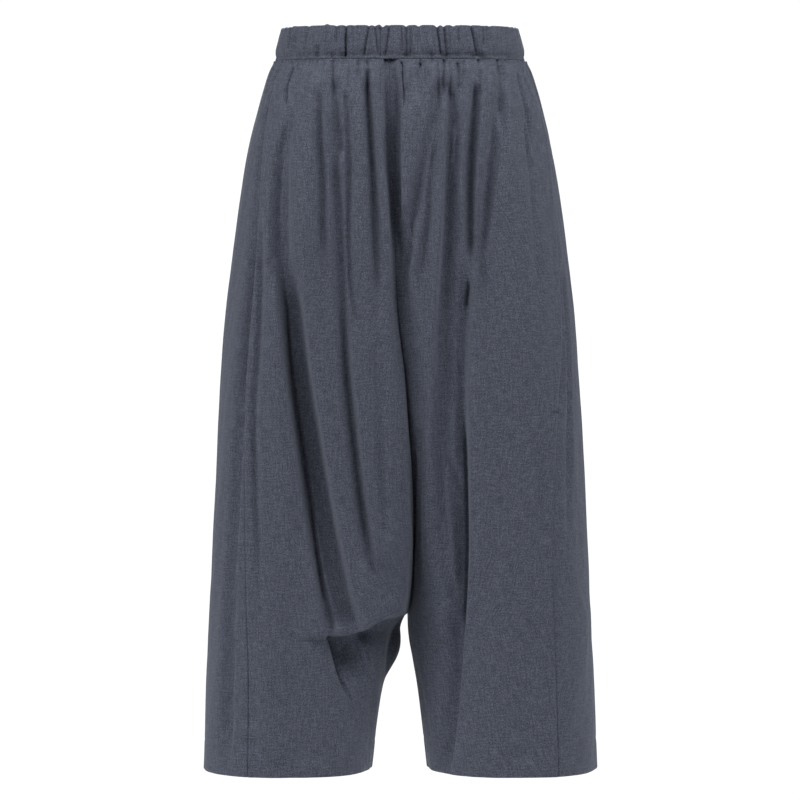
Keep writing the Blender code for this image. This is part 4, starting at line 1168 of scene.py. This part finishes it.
# %% The casing's mesh
fold_level = CASING_TOP - CASING_FOLD
outside = np.arange(WAIST_SEAM + SEAM_GAP / 2, fold_level, CASING_STEP)
turn = np.linspace(0, math.pi, CASING_FOLD_ROWS)
inside = np.linspace(fold_level, WAIST_SEAM + CASING_INSIDE_SHORTER, CASING_INSIDE_ROWS + 1)[1:]
levels, inset, lift = turned_in(outside, fold_level, turn, inside, CASING_FOLD, 1)
round_ring = np.linspace(0, casing_length, CASING_COLUMNS, endpoint=False)[None, :]
places = round_ring.repeat(len(levels), axis=0)
points, _ = casing_surface(levels, places, inset, lift)
run = np.concatenate([[0], np.cumsum(np.hypot(np.diff(inset), np.diff(levels + lift)))])
uv = np.stack([places, np.broadcast_to(run[:, None], places.shape)], axis=2) * MM
casing = cloth_mesh("waistband_cloth", points[::-1, ::-1], uv[::-1, ::-1], CASING_WALL, closed=True)
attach(casing, "root")
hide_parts("waistband")

# %% [markdown]
# ## Stitches and bar tacks
#
# A machine seam shows as a row of short threads with a gap between them, each sunk a little into
# the cloth.  One stitch is a stretched ball, and the whole row is made at once by placing that
# ball at each stitch with its own three directions.  The lower end of each pocket mouth takes the
# strain of the hand, so a bar of thread is sewn across it.

# %% Thread
STITCH_PITCH = 3.3
STITCH_SIZE = (1.3, 0.28, 0.30)
BAR_LEVEL = MOUTH_BOTTOM
BAR_SIZE = (4.2, 0.9, 0.8)
BAR_SHARES = {"front_right": 0.004, "front_left": 0.996}
BAR_SHARE_STEP = 0.002
BAR_LEVEL_STEP = 2.0
BALL_RINGS = 5
BALL_SIDES = 8


def unit(vectors):
    """The same directions with length 1."""
    return vectors / np.linalg.norm(vectors, axis=1, keepdims=True)


def ball_points(size):
    """Points of a ball whose rings lie across its first axis, a*cos(v), b*sin(v)cos(u),
    c*sin(v)sin(u), and its two ends last."""
    v = np.linspace(0, math.pi, BALL_RINGS + 2)[1:-1, None]
    u = np.linspace(0, 2 * math.pi, BALL_SIDES, endpoint=False)[None, :]
    rings = np.stack([np.cos(v) + 0 * u, np.sin(v) * np.cos(u), np.sin(v) * np.sin(u)], axis=2)
    return np.concatenate([rings.reshape(-1, 3), [[1, 0, 0], [-1, 0, 0]]]) * size


def ball_faces():
    """Four-sided faces between the rings, and three-sided ones from each end to its ring."""
    ring = np.arange(BALL_SIDES)
    after = (ring + 1) % BALL_SIDES
    first = BALL_SIDES * np.arange(BALL_RINGS - 1)[:, None]
    second = first + BALL_SIDES
    sides = np.stack([first + ring, first + after, second + after, second + ring], axis=2)
    end = BALL_RINGS * BALL_SIDES
    last = end - BALL_SIDES
    near = np.stack([0 * ring + end, after, ring], axis=1)
    far = np.stack([0 * ring + end + 1, last + ring, last + after], axis=1)
    return sides.reshape(-1, 4), np.concatenate([near, far])


def thread_mesh(name, centres, along, out, size):
    """One mesh of stretched balls, each with its own directions along, across and out."""
    ball = ball_points(size)
    axes = np.stack([along, np.cross(along, out), out], axis=1)
    points = centres[:, None, :] + np.einsum("pk,nkc->npc", ball, axes)
    sides, ends = ball_faces()
    faces = []
    for first in range(0, len(ball) * len(centres), len(ball)):
        faces += (sides + first).tolist() + (ends + first).tolist()
    piece = add_mesh(name, points, faces)
    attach(piece, "root")
    print(f"{name}: {len(centres)} stitches")
    return piece


count = round(casing_length / STITCH_PITCH)
spots = np.linspace(0, casing_length, count, endpoint=False)[None, :]
seam_points, seam_out = casing_surface(np.array([STITCH_LEVEL]), spots)
centres = seam_points[0]
along = unit(np.roll(centres, -1, axis=0) - np.roll(centres, 1, axis=0))
out = np.concatenate([seam_out[0], np.zeros((count, 1))], axis=1)
out = unit(out - along * (out * along).sum(axis=1, keepdims=True))
waist_stitches = thread_mesh("waist_stitches", centres, along, out, STITCH_SIZE)

bar_levels = np.array([BAR_LEVEL, BAR_LEVEL - BAR_LEVEL_STEP])
spots = []
for panel, share in BAR_SHARES.items():
    shares = np.repeat([[share, share + BAR_SHARE_STEP]], 2, axis=0)
    spots.append(panel_surface(panel, bar_levels, shares))
spots = np.array(spots)
centres = spots[:, 0, 0]
along = unit(spots[:, 0, 1] - centres)
out = np.cross(centres - spots[:, 1, 0], along)
out = unit(out * -np.sign(out[:, 1:2]))
bar_tacks = thread_mesh("bar_tacks", centres, along, out, BAR_SIZE)

# %% [markdown]
# ## Wool flannel
#
# Flannel is woven from carded wool and then brushed, which raises a short nap over the weave.
# This one is a heather: its yarn is spun from fibres dyed several shades, so each thread is
# flecked dark, mid and pale.  Noise makes the flecks, and two stretched noises the uneven yarns
# of warp and weft.  The nap makes the cloth matt, with a faint pale bloom where it turns away,
# which the sheen stands for.  Wool's IOR is about 1.55; 1.5 and a low specular level stand for an
# open nap that scatters light.

# %% Material of the cloth
FLECK = 0.0013         # fibre flecks are under 0.5 mm, drawn coarser so that they show
YARN = 0.0018          # yarns lie 0.5 mm apart, drawn coarser for the same reason
WEFT_STREAK = 0.011    # how far an uneven place runs along a weft yarn
WARP_STREAK = 0.014
WALE = 0.0030545       # the twill's ribs are about 1 mm apart, drawn coarser for the same reason
WAVE_REPEAT = 0.2 * math.pi * math.sqrt(0.5)   # a diagonal wave repeats at this distance at scale 1


def wool_flannel(name, dark, middle, pale):
    """Flecked colour on the cloth's own UV in metres, twill and nap as bump, and sheen."""
    material, shader = new_material(name)
    tree = material.node_tree
    shader.inputs["Roughness"].default_value = 0.92
    shader.inputs["IOR"].default_value = 1.5
    shader.inputs["Specular IOR Level"].default_value = 0.18
    shader.inputs["Sheen Weight"].default_value = 0.28
    shader.inputs["Sheen Roughness"].default_value = 0.45
    shader.inputs["Sheen Tint"].default_value = linear("#c9d0dc")
    uv = add_node(tree, "ShaderNodeUVMap", {"uv_map": "Cloth"}).outputs["UV"]
    fleck = add_node(tree, "ShaderNodeTexNoise", {"noise_dimensions": "2D"}, Vector=uv,
                     Scale=1 / FLECK, Detail=2.0, Roughness=0.7)
    across = add_node(tree, "ShaderNodeMapping", Vector=uv, Scale=(1 / WEFT_STREAK, 1 / YARN, 1))
    weft = add_node(tree, "ShaderNodeTexNoise", {"noise_dimensions": "2D"},
                    Vector=across.outputs[0], Scale=1.0, Detail=3.0, Roughness=0.6)
    along = add_node(tree, "ShaderNodeMapping", Vector=uv, Scale=(1 / YARN, 1 / WARP_STREAK, 1))
    warp = add_node(tree, "ShaderNodeTexNoise", {"noise_dimensions": "2D"},
                    Vector=along.outputs[0], Scale=1.0, Detail=3.0, Roughness=0.6)
    threads = add_node(tree, "ShaderNodeMath", {"operation": "ADD"},
                       at0=weft.outputs["Fac"], at1=warp.outputs["Fac"])
    mixed = add_node(tree, "ShaderNodeMath", {"operation": "MULTIPLY_ADD"},
                     at0=threads.outputs[0], at1=0.4, at2=fleck.outputs["Fac"])
    spread = add_node(tree, "ShaderNodeMapRange", Value=mixed.outputs[0], From_Min=0.62, From_Max=1.18)
    heather = add_node(tree, "ShaderNodeValToRGB", Fac=spread.outputs[0])
    stops = heather.color_ramp.elements
    stops[0].color = linear(dark)
    stops[1].color = linear(pale)
    stops.new(0.5).color = linear(middle)
    twill = add_node(tree, "ShaderNodeTexWave", {"bands_direction": "DIAGONAL"}, Vector=uv,
                     Scale=WAVE_REPEAT / WALE, Distortion=1.5, Detail=1.0)
    height = add_node(tree, "ShaderNodeMath", {"operation": "MULTIPLY_ADD"},
                      at0=fleck.outputs["Fac"], at1=1.5, at2=twill.outputs["Fac"])
    bump = add_node(tree, "ShaderNodeBump", Strength=0.35, Distance=0.0004, Height=height.outputs[0])
    tree.links.new(heather.outputs["Color"], shader.inputs["Base Color"])
    tree.links.new(bump.outputs["Normal"], shader.inputs["Normal"])
    return material


flannel = wool_flannel("Brushed wool flannel, blue-grey heather", "#393d47", "#555966", "#727788")
for piece in (*panels.values(), casing):
    piece.data.materials.append(flannel)

# %% Material of the thread
polyester, shader = new_material("Spun polyester sewing thread, dark grey")
shader.inputs["Base Color"].default_value = linear("#4b4f59")   # a shade darker than the cloth
shader.inputs["Roughness"].default_value = 0.6   # spun thread is duller than smooth filament
shader.inputs["IOR"].default_value = 1.54
for piece in (waist_stitches, bar_tacks):
    piece.data.materials.append(polyester)

# %% [markdown]
# ## The cut of each panel
#
# The cut of each panel is printed.  A panel's widest row, its length with the turned-up hem
# and its area are all measured along the cloth, through the folds, because that is what a cutter
# would have to lay out.  The casing's strip is as long as the top edges of the four panels
# together, since it is gathered with them.

for panel, (width, length, area, top) in cuts.items():
    print(f"{panel} cut: {1000 * width:.0f} x {1000 * length:.0f} mm, {area:.3f} m2")
